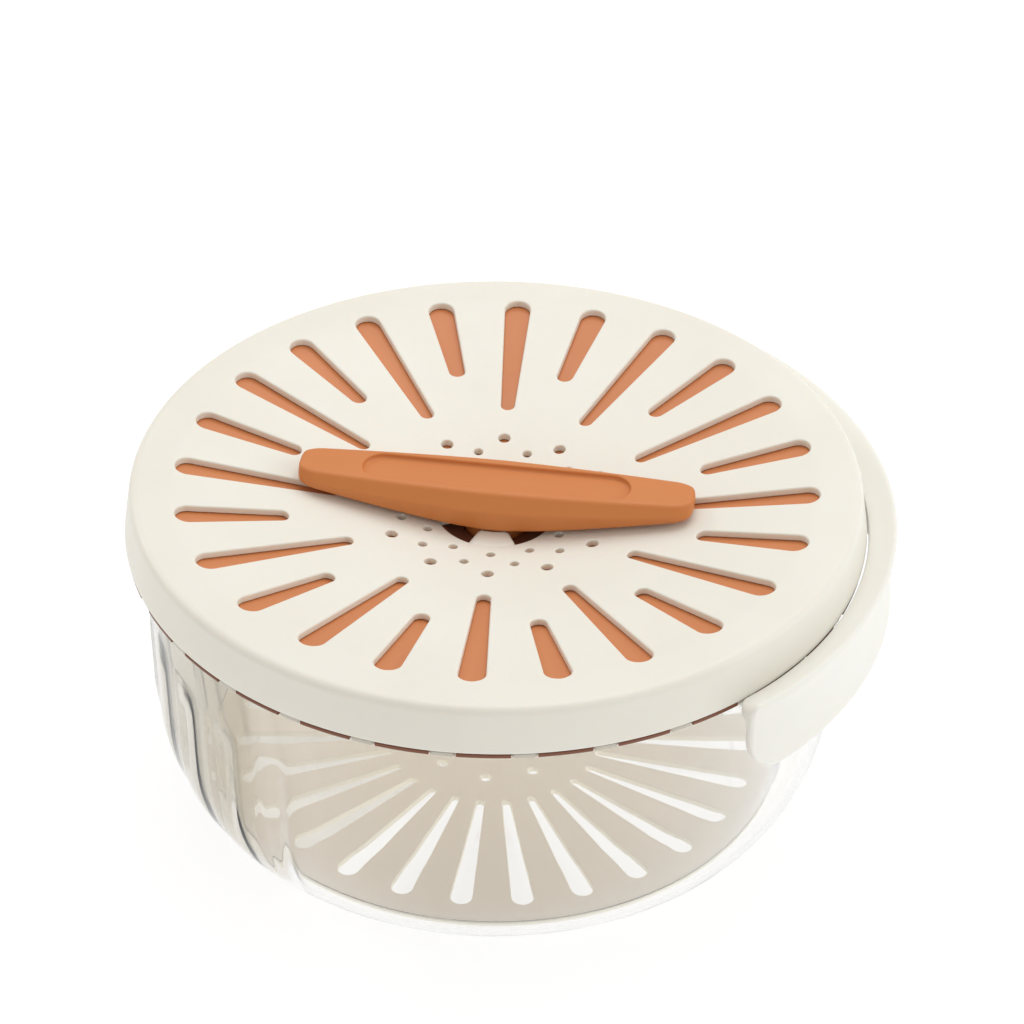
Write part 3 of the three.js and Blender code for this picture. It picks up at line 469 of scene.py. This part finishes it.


# Each ivory's last number is its warm emission, painted light.
IVORY = plastic("ivory", (0.82, 0.785, 0.705), (0.85, 0.82, 0.745), (0.36, 0.46), 2600, 0.2, 0.012)
# Handle ivory: a lighter, cooler copy of the same ivory plastic, painted light for the handle's brighter lit faces.
HANDLE_IVORY_PAINTED_LIGHT = plastic("handle_ivory_painted_light", (0.84, 0.825, 0.77), (0.87, 0.855, 0.805), (0.36, 0.46), 2600, 0.2, 0.012)
# Basket floor ivory: a lighter, yellower copy of the ivory with a strong warm emission, painted light on a floor that
# lies in the lid's shade.
FLOOR_IVORY_PAINTED_LIGHT = plastic("floor_ivory_painted_light", (0.86, 0.82, 0.69), (0.89, 0.855, 0.73), (0.36, 0.46), 2600, 0, 0.18)
SHADED_ORANGE = plastic("shaded_orange", (0.63, 0.22, 0.079), (0.66, 0.237, 0.086), (0.34, 0.44), 2400)
ORANGE = plastic("orange", (0.625, 0.204, 0.051), (0.655, 0.221, 0.058), (0.42, 0.52), 2400, 0.04)
ACETAL = plastic("acetal", (0.69, 0.67, 0.62), (0.74, 0.72, 0.67), (0.3, 0.42), 1800)
CLEAR = clear_plastic("clear", (0.975, 0.972, 0.965), (0.99, 0.988, 0.985), 0.0003)
# Painted reflections: the grey tone and the dark streak colour mixed over the bowl's grip.
GRIP_PAINTED_REFLECTIONS = ((0.84, 0.805, 0.73), (0.6, 0.57, 0.5))
BOWL_CLEAR = clear_plastic("bowl_clear", (0.975, 0.972, 0.965), (0.99, 0.988, 0.985), 0.0003, GRIP_PAINTED_REFLECTIONS)
FROSTED = plastic("frosted", (0.52, 0.49, 0.42), (0.58, 0.55, 0.48), (0.3, 0.45), 1500, 0.2)
STEEL = metal("steel", (0.6, 0.61, 0.63), (0.42, 0.43, 0.45), (0.24, 0.4))


shade_below(SHADED_ORANGE, INNER_LIP_Z + 0.3, (0.2, 0.07, 0.035))


def finish_piece(obj, body, paint, slot, *nodes):
    """Paints a piece, ties it to its body and lets it stand for CAD nodes."""
    obj.data.materials.clear()
    obj.data.materials.append(paint)
    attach(obj, body)
    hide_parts(*nodes)
    obj.visible_shadow = paint not in (CLEAR, BOWL_CLEAR)
    return obj


# ---- Lid cover ------------------------------------------------------------------------------
def lid_cover():
    skirt_in = LID_BOTTOM_R - LID_SKIRT_T
    profile = rounded([
        (OPENING_R, dish(OPENING_R) - LID_SKIN, 0.5),
        (DISH_R, LID_RIM_Z - LID_SKIN, 3),
        (128.2, LID_RIM_Z - LID_SKIN, 2.6),
        (skirt_in, LID_SKIRT_Z, 0.5),
        (LID_BOTTOM_R, LID_SKIRT_Z, 0.9),
        (130.1, LID_RIM_Z, 3.3),
        (DISH_R, LID_RIM_Z, 2.2),
        (OPENING_R, dish(OPENING_R), 0.6),
    ], 8)
    cover = lathe("cover", profile)
    slots = []
    for k in range(SLOTS):
        inner, width = SHORT_SLOT if k % 2 else LONG_SLOT
        slots.append(slot_outline(inner, DISH_R, width, SLOT_OUT_W, SLOT_PHASE + 360 * k / SLOTS))
    on_dish = lambda x, y: dish(math.hypot(x, y))
    combine(cover, cutter(slots, edge_levels(0.7, 4), on_dish))
    holes = []
    for ring, radius, phase in VENTS:
        holes += [hole_outline(ring, radius, SLOT_PHASE + phase + 360 * k / VENT_COUNT) for k in range(VENT_COUNT)]
    combine(cover, cutter(holes, edge_levels(0.45, 4), on_dish))
    top = dish(OPENING_R) + 0.35
    for k in range(TABS):
        sections = []
        for step in range(13):
            along = step / 6 - 1
            inset = 0.6 * (1 - math.sqrt(max(0, 1 - max(0, (abs(along) - 0.94) / 0.06) ** 2)))
            degrees = SLOT_PHASE + 360 * k / TABS + along * TAB_ANGLE / 2
            outline = rounded([
                (TAB_INNER + inset, top - LID_SKIN + inset, 0.6),
                (OPENING_R + 1.2, top - LID_SKIN + inset, 0.3),
                (OPENING_R + 1.2, top - inset - 0.3, 0.3),
                (OPENING_R - 0.8, top - inset, 0.8),
                (TAB_INNER + inset, top - inset, 0.8),
            ])
            sections.append([(*polar(r, degrees), z) for r, z in outline])
        combine(cover, loft("tab", sections), "UNION")
    return finish_piece(smooth(cover), "lid", IVORY, "ivory_plastic", "lid_cover")


# ---- Inner lid ------------------------------------------------------------------------------
def inner_lid():
    drop, skin = LID_SKIN + SLIDE_GAP, 2
    bore = BOSS_R + TURN_GAP
    collar = bore + 2.9
    skirt_out = LID_BOTTOM_R - LID_SKIRT_T - SLIDE_GAP
    profile = rounded([
        (bore, 101.6, 0.4),
        (collar, 101.6, 0.5),
        (collar, dish(collar) - drop - skin, 1),
        (DISH_R, LID_RIM_Z - drop - skin, 2),
        (122.3, LID_RIM_Z - drop - skin, 1),
        (122.9, BOWL_RIM_Z + GAP, 0.4),
        (BOWL_RIM_R + SLIDE_GAP, BOWL_RIM_Z + GAP, 0.5),
        (BOWL_RIM_R + 2, INNER_BOTTOM_Z, 0.5),
        (LID_BOTTOM_R - 0.5, INNER_BOTTOM_Z, 0.6),
        (LID_BOTTOM_R - 0.5, INNER_LIP_Z, 0.5),
        (skirt_out, INNER_LIP_Z, 0.1),
        (skirt_out, LID_SKIRT_Z, 0.1),
        (127.9, 118.9, 1),
        (125.7, LID_RIM_Z - drop, 1),
        (DISH_R, LID_RIM_Z - drop, 2),
        (bore, dish(bore) - drop, 0.5),
    ])
    body = lathe("underlid", profile)
    notches = [
        sector_outline(BOWL_RIM_R - 3, LID_BOTTOM_R + 3, NOTCH_ANGLE / 2, NOTCH_PHASE + 360 * k / NOTCHES, 0.4, 4)
        for k in range(NOTCHES)
    ]
    combine(body, cutter(notches, [(-2, 0), (1.9, 0)], lambda x, y: INNER_BOTTOM_Z))
    screws = []
    for k in range(4):
        screws.append(hole_outline(HOUSING_R + 4.5, 4.2, 45 + 90 * k, 40))
    low = dish(HOUSING_R) - drop - skin
    combine(body, cutter(screws, [(0, -0.6), (0.2, -0.2), (0.6, 0), (low - HOUSING_FLANGE_Z + 0.6, 0)], lambda x, y: HOUSING_FLANGE_Z + GAP), "UNION")
    return finish_piece(smooth(body), "lid", SHADED_ORANGE, "orange_plastic", "inner_lid")


# ---- Turning bar ----------------------------------------------------------------------------
def turning_bar():
    tip_reach, edge = 7.5, 1.6
    sections = []
    steps = 120
    for k in range(steps + 1):
        along = -math.cos(math.pi * k / steps)
        x = along * BAR_HALF
        share = abs(along) ** 1.6
        tip = min(1, (BAR_HALF - abs(x)) / tip_reach)
        scale = mix(0.42, 1, math.sqrt(max(0, 1 - (1 - tip) ** 2)))
        near = min(1, (BAR_HALF - abs(x)) / edge)
        inset = edge * (1 - math.sqrt(max(0, 1 - (1 - near) ** 2)))
        half = mix(BAR_MID, 9.6, share) * scale - inset
        chamfer = mix(4.6, 2.8, share) * scale
        drop = mix(6, 3.6, share)
        under = dish(math.hypot(x, BAR_MID)) + 1.8 + inset
        top = BAR_TOP - inset
        knee = max(BAR_TOP - drop, under + 0.9)
        corners = [
            (-half * 0.9, under, 1.2), (half * 0.9, under, 1.2), (half, knee, 0.9),
            (half - chamfer, top, 1.3), (-half + chamfer, top, 1.3), (-half, knee, 0.9),
        ]
        sections.append([(x, y, z) for y, z in rounded(corners, 5)])
    bar = loft("bar", sections)
    boss = lathe("boss", rounded([
        (0, DISH_LOW_Z - 6.2, 0), (BOSS_R, DISH_LOW_Z - 6.2, 0.4), (BOSS_R, dish(0) + 8, 0.1), (0, dish(0) + 8, 0),
    ]), 96)
    combine(bar, boss, "UNION")
    long, wide, deep = 48, 7.3, 1.8
    outline = slot_outline(-long, long, 2 * wide, 2 * wide, 0, 24)
    levels = [(-deep, -1.1), (-deep + 0.12, -0.6), (-deep + 0.45, -0.2), (-deep + 0.9, 0)]
    levels += edge_levels(0.8, 0.8)[1:]
    combine(bar, cutter([outline], levels, lambda x, y: BAR_TOP))
    bar.data.transform(Matrix.Rotation(math.radians(BAR_ANGLE), 4, "Z"))
    return finish_piece(smooth(bar, 40), "crank", ORANGE, "orange_plastic", "turning_bar")


# ---- Side handle ----------------------------------------------------------------------------
def side_handle():
    length = math.radians(HANDLE_HALF) * HANDLE_R
    band = HANDLE_R - 4.2
    shelf = band - LID_BOTTOM_R - HANDLE_LID_GAP
    low_round, high_round, plan_round, edge = 17, 3, 6, 1.4
    sections = []
    steps = 220
    for k in range(steps + 1):
        along = -math.cos(math.pi * k / steps) * length
        left = length - abs(along)
        raised = low_round * (1 - math.sqrt(max(0, 1 - max(0, 1 - left / low_round) ** 2)))
        lowered = high_round * (1 - math.sqrt(max(0, 1 - max(0, 1 - left / high_round) ** 2)))
        near = min(1, left / edge)
        inset = edge * (1 - math.sqrt(max(0, 1 - (1 - near) ** 2)))
        lip = smoothstep(8, 45, left)
        face = mix(HANDLE_R - 0.5, HANDLE_R - 1.9, lip)
        low, top = HANDLE_LOW + raised, HANDLE_TOP - lowered
        ledge = top - 4.4 + lowered * 0.6
        cut = min(1, left / plan_round)
        flange = band + 0.8 - (shelf + 0.8) * math.sqrt(max(0, 1 - (1 - cut) ** 2))
        corners = [
            (band + inset, low, 1.4),
            (HANDLE_R - 0.5 - inset, low, 1.8),
            (face - inset, mix(low, top, 0.3), 5),
            (face - inset, top - 7.5, 3),
            (HANDLE_R - inset, top - 3.6, 1.6),
            (HANDLE_R - inset, top, 2.2),
            (flange + inset, ledge, 0.7),
            (flange + inset, ledge - 3.2, 1),
            (band + inset, top - 6.2, 2.4),
        ]
        degrees = math.degrees(along / HANDLE_R)
        sections.append([(*polar(radius, degrees), z) for radius, z in rounded(corners, 5)])
    handle = loft("handle", sections)
    for side in (-1, 1):
        blocks = []
        for step in range(9):
            along = step / 4 - 1
            degrees = side * PAD_ANGLE + along * 4.5
            inset = 1.2 if abs(along) == 1 else 0
            outline = rounded([
                (BOWL_RIM_R + GAP, PAD_Z[0] + inset, 2), (band + 1.2, PAD_Z[0] + inset, 1),
                (band + 1.2, PAD_Z[1] - inset, 1), (BOWL_RIM_R + GAP, PAD_Z[1] - inset, 2),
            ])
            blocks.append([(*polar(radius, degrees), z) for radius, z in outline])
        combine(handle, loft("pad", blocks), "UNION")
    # The handle takes the lighter ivory copy: painted light.
    return finish_piece(smooth(handle, 38), "bowl", HANDLE_IVORY_PAINTED_LIGHT, "ivory_plastic", "side_handle")


# ---- Bowl -----------------------------------------------------------------------------------
def rib_height(z, degrees):
    """How far the grip ribs stand out of the bowl's wall at a height and an angle."""
    rib = (degrees - 180) / RIB_PITCH + (RIB_COUNT - 1) / 2
    nearest = min(RIB_COUNT - 1, max(0, round(rib)))
    away = abs(rib - nearest) * RIB_PITCH
    across = 1 - smoothstep(RIB_HALF_ANGLE - 1.5, RIB_HALF_ANGLE + 1.5, away)
    return RIB_PROUD * across * smoothstep(RIB_FOOT - 8, RIB_FOOT + 16, z) * (1 - smoothstep(RIB_HEAD - 14, RIB_HEAD, z))


def bowl():
    outer_heights = [BOWL_CORNER * (1 - math.cos(math.radians(a))) for a in range(4, 91, 3)]
    outer = [(bowl_outer(z), z) for z in outer_heights]
    outer += [(bowl_outer(z), z) for z in range(50, 113, 3)]
    inner = [(bowl_inner(z), z) for z in range(112, 49, -6)]
    inner_rise = BOWL_CORNER - BOWL_WALL
    inner += [(bowl_inner(z), z) for z in (BOWL_WALL + inner_rise * (1 - math.cos(math.radians(a))) for a in range(88, 3, -4))]
    rim = rounded([
        (bowl_outer(113), 113, 0), (BOWL_RIM_R, BOWL_RIM_Z, 1.4), (BOWL_RIM_R - BOWL_WALL, BOWL_RIM_Z, 1.1),
        (bowl_inner(113), 113, 0),
    ])
    foot = rounded([(0, 0.8, 0), (88, 0.8, 1.5), (90, 0, 1.5), (BOWL_BASE_R, 0, 0)])
    boss_top = BOWL_WALL + PIVOT_BOSS_H
    boss = rounded([
        (PIVOT_BOSS_R, BOWL_WALL, 0.8), (PIVOT_BOSS_R, boss_top, 0.5), (PIVOT_R + GAP, boss_top, 0.4),
        (PIVOT_R + GAP, BOWL_WALL + GAP, 0), (0, BOWL_WALL + GAP, 0),
    ])
    def ribbed(radius, z, degrees):
        if radius < bowl_inner(z) + 0.5 or z < 1:
            return radius, z
        out = rib_height(z, degrees)
        rise = max(0, BOWL_CORNER - z) / BOWL_CORNER
        return radius + out * (1 - rise * rise), z - out * rise * 0.6
    body = lathe("bowl_shell", foot + outer + rim + inner + boss, 720, ribbed)
    finish_piece(smooth(body, 40), "bowl", BOWL_CLEAR, "clear_plastic", "bowl")
    lugs = [
        sector_outline(BOWL_RIM_R + 0.1, LID_BOTTOM_R - 1, NOTCH_ANGLE / 2 - 0.13, NOTCH_PHASE + 360 * k / NOTCHES, 0.9, 5)
        for k in range(NOTCHES)
    ]
    lug_levels = [(-0.6, -0.8), (-0.45, -0.3), (0, 0), (1.2, 0), (1.55, -0.5)]
    row = cutter(lugs, lug_levels, lambda x, y: INNER_BOTTOM_Z)
    row.name = "bowl_lugs"
    return finish_piece(smooth(row, 50), "bowl", FROSTED, "clear_plastic", "bowl")


# ---- Basket ---------------------------------------------------------------------------------
def basket_floor():
    low = BASKET_FLOOR_Z - BASKET_FLOOR_T
    cup = PIVOT_R + GAP + 4.7
    disc = lathe("basket_base", rounded([
        (cup + GAP, low, 0.3), (BASKET_FLOOR_R - 0.6, low, 0.7), (BASKET_FLOOR_R, BASKET_FLOOR_Z, 0.7),
        (cup + GAP, BASKET_FLOOR_Z, 0.4),
    ]))
    openings = []
    for k in range(FLOOR_SLOTS):
        angle = FLOOR_SLOT_PHASE + 360 * k / FLOOR_SLOTS
        openings.append(slot_outline(FLOOR_SLOT_IN, BASKET_FLOOR_R - 10.5, *FLOOR_SLOT_W, angle))
    for k in range(FLOOR_HOLES):
        openings.append(hole_outline(FLOOR_HOLE_RING, FLOOR_HOLE_R, FLOOR_HOLE_PHASE + 360 * k / FLOOR_HOLES))
    combine(disc, cutter(openings, edge_levels(0.5, 4), lambda x, y: BASKET_FLOOR_Z))
    # The basket floor takes the glowing ivory copy: painted light.
    return finish_piece(smooth(disc), "basket", FLOOR_IVORY_PAINTED_LIGHT, "ivory_plastic", "basket_floor")


def basket_wall():
    flange_z = BASKET_RIM_Z - BASKET_WALL
    reach = basket_outer(flange_z) + 2.6
    body = lathe("basket_wall", rounded([
        (basket_outer(BASKET_FOOT_Z), BASKET_FOOT_Z, 0.6),
        (basket_outer(flange_z), flange_z, 0.8),
        (reach, flange_z, 0.6),
        (reach, BASKET_RIM_Z, 0.6),
        (basket_outer(BASKET_RIM_Z) - BASKET_WALL, BASKET_RIM_Z, 0.6),
        (basket_outer(BASKET_FOOT_Z) - BASKET_WALL, BASKET_FOOT_Z, 0.6),
    ]))
    window_z = BASKET_RIM_Z - 5.7
    for width, height in ((18 - 1.4, 3.4), (18, 3.4 - 1.4)):
        spans = [
            (95, 125, width, window_z - height / 2, window_z + height / 2, 20 * (k + 0.5))
            for k in range(18)
        ]
        combine(body, boxes(spans))
    notches = boxes([(95, 125, 9.2, PLATE_Z - TURN_GAP, BASKET_RIM_Z + 1, 60 * k) for k in range(6)])
    combine(body, notches)
    return finish_piece(smooth(body), "basket", CLEAR, "clear_plastic", "basket_body")


def basket_cup():
    low = BOWL_WALL + PIVOT_BOSS_H + TURN_GAP
    ceiling = BASE_Z + 8 + GAP
    radius = PIVOT_R + GAP + 4.7
    cup = lathe("basket_cup", rounded([
        (0, ceiling, 0), (PIVOT_R + GAP, ceiling, 0.5), (PIVOT_R + GAP, low, 0.4), (radius, low, 0.5),
        (radius, ceiling + 2, 1.8), (0, ceiling + 2, 0),
    ]), 96)
    return finish_piece(smooth(cup), "basket", ACETAL, "gear_plastic", "basket_pivot_cup")


# ---- Gear housing and drive plate -----------------------------------------------------------
def gear_housing():
    flange = HOUSING_R + 9
    bush = 8
    cup = lathe("gearbox", rounded([
        (bush, HOUSING_BOSS_Z, 0.3), (11.2, HOUSING_BOSS_Z, 0.8), (11.2, HOUSING_FLOOR_Z, 0.8),
        (HOUSING_R, HOUSING_FLOOR_Z, 2.6), (HOUSING_R, HOUSING_FLANGE_Z - 2, 1.2), (flange, HOUSING_FLANGE_Z - 2, 0.7),
        (flange, HOUSING_FLANGE_Z, 0.6), (HOUSING_R - 2, HOUSING_FLANGE_Z, 0.4), (HOUSING_R - 2, HOUSING_TOP_FLOOR, 1),
        (bush, HOUSING_TOP_FLOOR, 0.3),
    ]), 192)
    bosses = [hole_outline(24.75, 5, 120 * k, 48) for k in range(3)]
    height = HOUSING_FLOOR_Z - HOUSING_BOSS_Z
    combine(cup, cutter(bosses, [(0, -0.8), (0.2, -0.3), (0.7, 0), (height + 0.4, 0)], lambda x, y: HOUSING_BOSS_Z), "UNION")
    sockets = [hole_outline(24.75, 2.8, 120 * k, 48) for k in range(3)]
    combine(cup, cutter(sockets, [(1.2, 0), (6, 0)], lambda x, y: HOUSING_BOSS_Z))
    holes = [hole_outline(HOUSING_R + 4.5, 1.8, 45 + 90 * k) for k in range(4)]
    combine(cup, cutter(holes, [(-4, 0), (1, 0)], lambda x, y: HOUSING_FLANGE_Z))
    return finish_piece(smooth(cup), "lid", IVORY, "ivory_plastic", "gear_housing")


def drive_plate():
    rim_in = PLATE_R - 4.4
    plate = lathe("spinner_plate", rounded([
        (1.8, HUB_BOTTOM, 0.2), (54, HUB_BOTTOM + 1, 4), (rim_in, PLATE_Z, 2), (PLATE_R, PLATE_Z, 0.6),
        (PLATE_R, PLATE_Z + 2, 0.6), (rim_in, PLATE_Z + 2, 2), (54, HUB_BOTTOM + 3, 4), (11, HUB_BOTTOM + 2, 1.2),
        (11, HUB_TOP - TURN_GAP, 0.8), (1.8, HUB_TOP - TURN_GAP, 0.3),
    ]))
    windows = [sector_outline(19, rim_in - 3, 23, 30 + 60 * k, 4, 20) for k in range(6)]
    combine(plate, cutter(windows, [(-1, 0), (30, 0)], lambda x, y: HUB_BOTTOM))
    tongues = boxes([(PLATE_R - 1.5, BASKET_RIM_R + 1, 8, PLATE_Z, PLATE_Z + 2, 60 * k) for k in range(6)])
    combine(plate, tongues, "UNION")
    combine(plate, boxes([(-3.8, 3.8, 7.6, HUB_BOTTOM + 2, HUB_TOP + 1, 0)]))
    bevel = plate.modifiers.new("edges", "BEVEL")
    bevel.width, bevel.segments, bevel.limit_method, bevel.angle_limit = 0.35 * MM, 2, "ANGLE", math.radians(50)
    bevel.harden_normals = False
    return finish_piece(smooth(plate), "drive", IVORY, "ivory_plastic", "drive_plate")


# ---- Screws ---------------------------------------------------------------------------------
def screw(name, body, node, matrix, shank, head=3.2):
    """A pan-head screw with a cross recess, its head below z 0 and its shank above."""
    thread = [(1.5, 0)]
    turns = int(shank / 0.9)
    for k in range(turns):
        thread += [(1.5, (k + 0.25) * 0.9), (1.25, (k + 0.6) * 0.9), (1.5, (k + 0.95) * 0.9)]
    top = [(1.3, shank - 0.05), (0, shank)]
    head_shape = rounded([(0, -2, 0), (head * 0.7, -2, 1), (head, -0.9, 0.8), (head, 0, 0.2)], 4)
    obj = lathe(name, head_shape + thread + top, SMALL)
    cross = boxes([(-head * 0.55, head * 0.55, 0.75, -3, -1, angle) for angle in (0,)])
    combine(obj, cross)
    combine(obj, boxes([(-head * 0.55, head * 0.55, 0.75, -3, -1, 90)]))
    obj.data.transform(Matrix.Scale(1, 4) @ matrix)
    return finish_piece(smooth(obj), body, STEEL, "steel", node)


def screws():
    ring = HOUSING_R + 4.5
    length = dish(ring) - 2.9 - 2 - (HOUSING_FLANGE_Z - 2.3)
    for k in range(4):
        x, y = polar(ring, 45 + 90 * k)
        place = Matrix.Translation(Vector((x, y, HOUSING_FLANGE_Z - 2.3)) * MM)
        screw(f"gearbox_screw_{k + 1}", "lid", f"housing_screw_{k + 1}", place, length)
    place = Matrix.Translation(Vector((0, 0, HUB_BOTTOM - GAP)) * MM)
    screw("plate_screw", "drive", "drive_plate_screw", place, HUB_TOP + 2 - HUB_BOTTOM + GAP, 4.2)
    start = bowl_outer(PAD_SCREW_Z) - BOWL_WALL - 2 * GAP
    for side, word in ((1, "left"), (-1, "right")):
        turn = Matrix.Rotation(math.radians(side * PAD_ANGLE), 4, "Z")
        place = turn @ Matrix.Translation(Vector((start, 0, PAD_SCREW_Z)) * MM) @ Matrix.Rotation(math.radians(90), 4, "Y")
        screw(f"handle_screw_{word}", "bowl", f"side_handle_screw_{word}", place, HANDLE_R - 4.2 - start)


lid_cover()
inner_lid()
turning_bar()
side_handle()
bowl()
basket_floor()
basket_wall()
basket_cup()
gear_housing()
drive_plate()
screws()

# ---- CAD nodes that keep their shape --------------------------------------------------------
KEPT = {
    "bowl_pivot_pin": STEEL, "turning_bar_screw": STEEL, "shaft_bush": ACETAL, "thrust_washer": ACETAL,
    "ring_gear": ACETAL, "sun_pinion": ACETAL,
}
for number in (1, 2, 3):
    KEPT[f"planet_pin_{number}"] = STEEL
    KEPT[f"planet_gear_{number}"] = ACETAL
for name, paint in KEPT.items():
    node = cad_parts[name]
    node.data.materials.clear()
    node.data.materials.append(paint)
    edges = node.modifiers.new("edges", "BEVEL")
    edges.width, edges.segments, edges.limit_method, edges.angle_limit = 0.12 * MM, 2, "ANGLE", math.radians(35)

# ---- Stage ----------------------------------------------------------------------------------
floor_mesh = bpy.data.meshes.new("floor")
floor_mesh.from_pydata([(-6, -6, 0), (6, -6, 0), (6, 6, 0), (-6, 6, 0)], [], [(0, 1, 2, 3)])
floor = bpy.data.objects.new("floor", floor_mesh)
floor.location.z = -0.0003
bpy.context.scene.collection.objects.link(floor)
floor_paint, nodes, links, shader, place = material("floor")
links.new(two_tone(nodes, links, noise(nodes, links, place, 3), (0.24, 0.24, 0.238), (0.26, 0.26, 0.258)), shader.inputs["Base Color"])
shader.inputs["Roughness"].default_value = 0.8
shader.inputs["Specular IOR Level"].default_value = 0.1
shader.inputs["Emission Color"].default_value = (1, 1, 1, 1)
shader.inputs["Emission Strength"].default_value = 0.85
floor_mesh.materials.append(floor_paint)

world = bpy.data.worlds.new("studio")
world.use_nodes = True
world.node_tree.nodes["Background"].inputs["Color"].default_value = (1, 0.985, 0.945, 1)
world.node_tree.nodes["Background"].inputs["Strength"].default_value = 0.62
bpy.context.scene.world = world


def area_light(name, place, aim, size, power, colour=(1, 1, 1)):
    data = bpy.data.lights.new(name, "AREA")
    data.shape, data.size, data.energy, data.color = "SQUARE", size, power, colour
    lamp = bpy.data.objects.new(name, data)
    lamp.location = place
    lamp.rotation_euler = (Vector(aim) - Vector(place)).to_track_quat("-Z", "Y").to_euler()
    bpy.context.scene.collection.objects.link(lamp)
    return lamp


area_light("overhead", (0.3, 0.7, 1.9), (0, 0, 0.1), 1.6, 15.3, (0.97, 0.985, 1))
area_light("right_fill", (1.6, -0.3, 0.8), (0, 0, 0.1), 1.0, 6.5, (0.93, 0.975, 1))
area_light("edge_glint", (-0.9, 1.1, 1.0), (0, 0, 0.12), 0.35, 3, (1, 0.98, 0.95))

card_mesh = bpy.data.meshes.new("dark_card")
card_mesh.from_pydata([(-0.7, -0.6, 0.0), (-0.7, 0.25, 0.0), (-0.7, 0.25, 0.5), (-0.7, -0.6, 0.5)], [], [(0, 1, 2, 3)])
card = bpy.data.objects.new("dark_card", card_mesh)
bpy.context.scene.collection.objects.link(card)
card_paint, nodes, links, shader, place = material("dark_card")
links.new(two_tone(nodes, links, noise(nodes, links, place, 4), (0.03, 0.025, 0.02), (0.05, 0.042, 0.034)), shader.inputs["Base Color"])
shader.inputs["Roughness"].default_value = 0.9
card_mesh.materials.append(card_paint)
card.visible_camera = card.visible_diffuse = card.visible_shadow = False

camera_data = bpy.data.cameras.new("camera")
camera_data.sensor_width = 36
camera_data.lens = 143.1
camera_data.shift_x, camera_data.shift_y = 0.0154, -0.0327
camera = bpy.data.objects.new("camera", camera_data)
bpy.context.scene.collection.objects.link(camera)
VIEW_AZIMUTH, VIEW_ELEVATION, VIEW_DISTANCE, VIEW_ROLL = math.radians(-5.73), math.radians(35.88), 1.446, math.radians(0.35)
target = Vector((0, 0, LID_RIM_Z * MM))
back = Vector((
    math.sin(VIEW_AZIMUTH) * math.cos(VIEW_ELEVATION),
    -math.cos(VIEW_AZIMUTH) * math.cos(VIEW_ELEVATION),
    math.sin(VIEW_ELEVATION),
))
camera.location = target + back * VIEW_DISTANCE
camera.rotation_euler = ((-back).to_track_quat("-Z", "Y").to_matrix() @ Matrix.Rotation(VIEW_ROLL, 3, "Z")).to_euler()
camera_data.clip_start, camera_data.clip_end = 0.05, 50
bpy.context.scene.camera = camera
bpy.context.scene.view_settings.view_transform = "Standard"
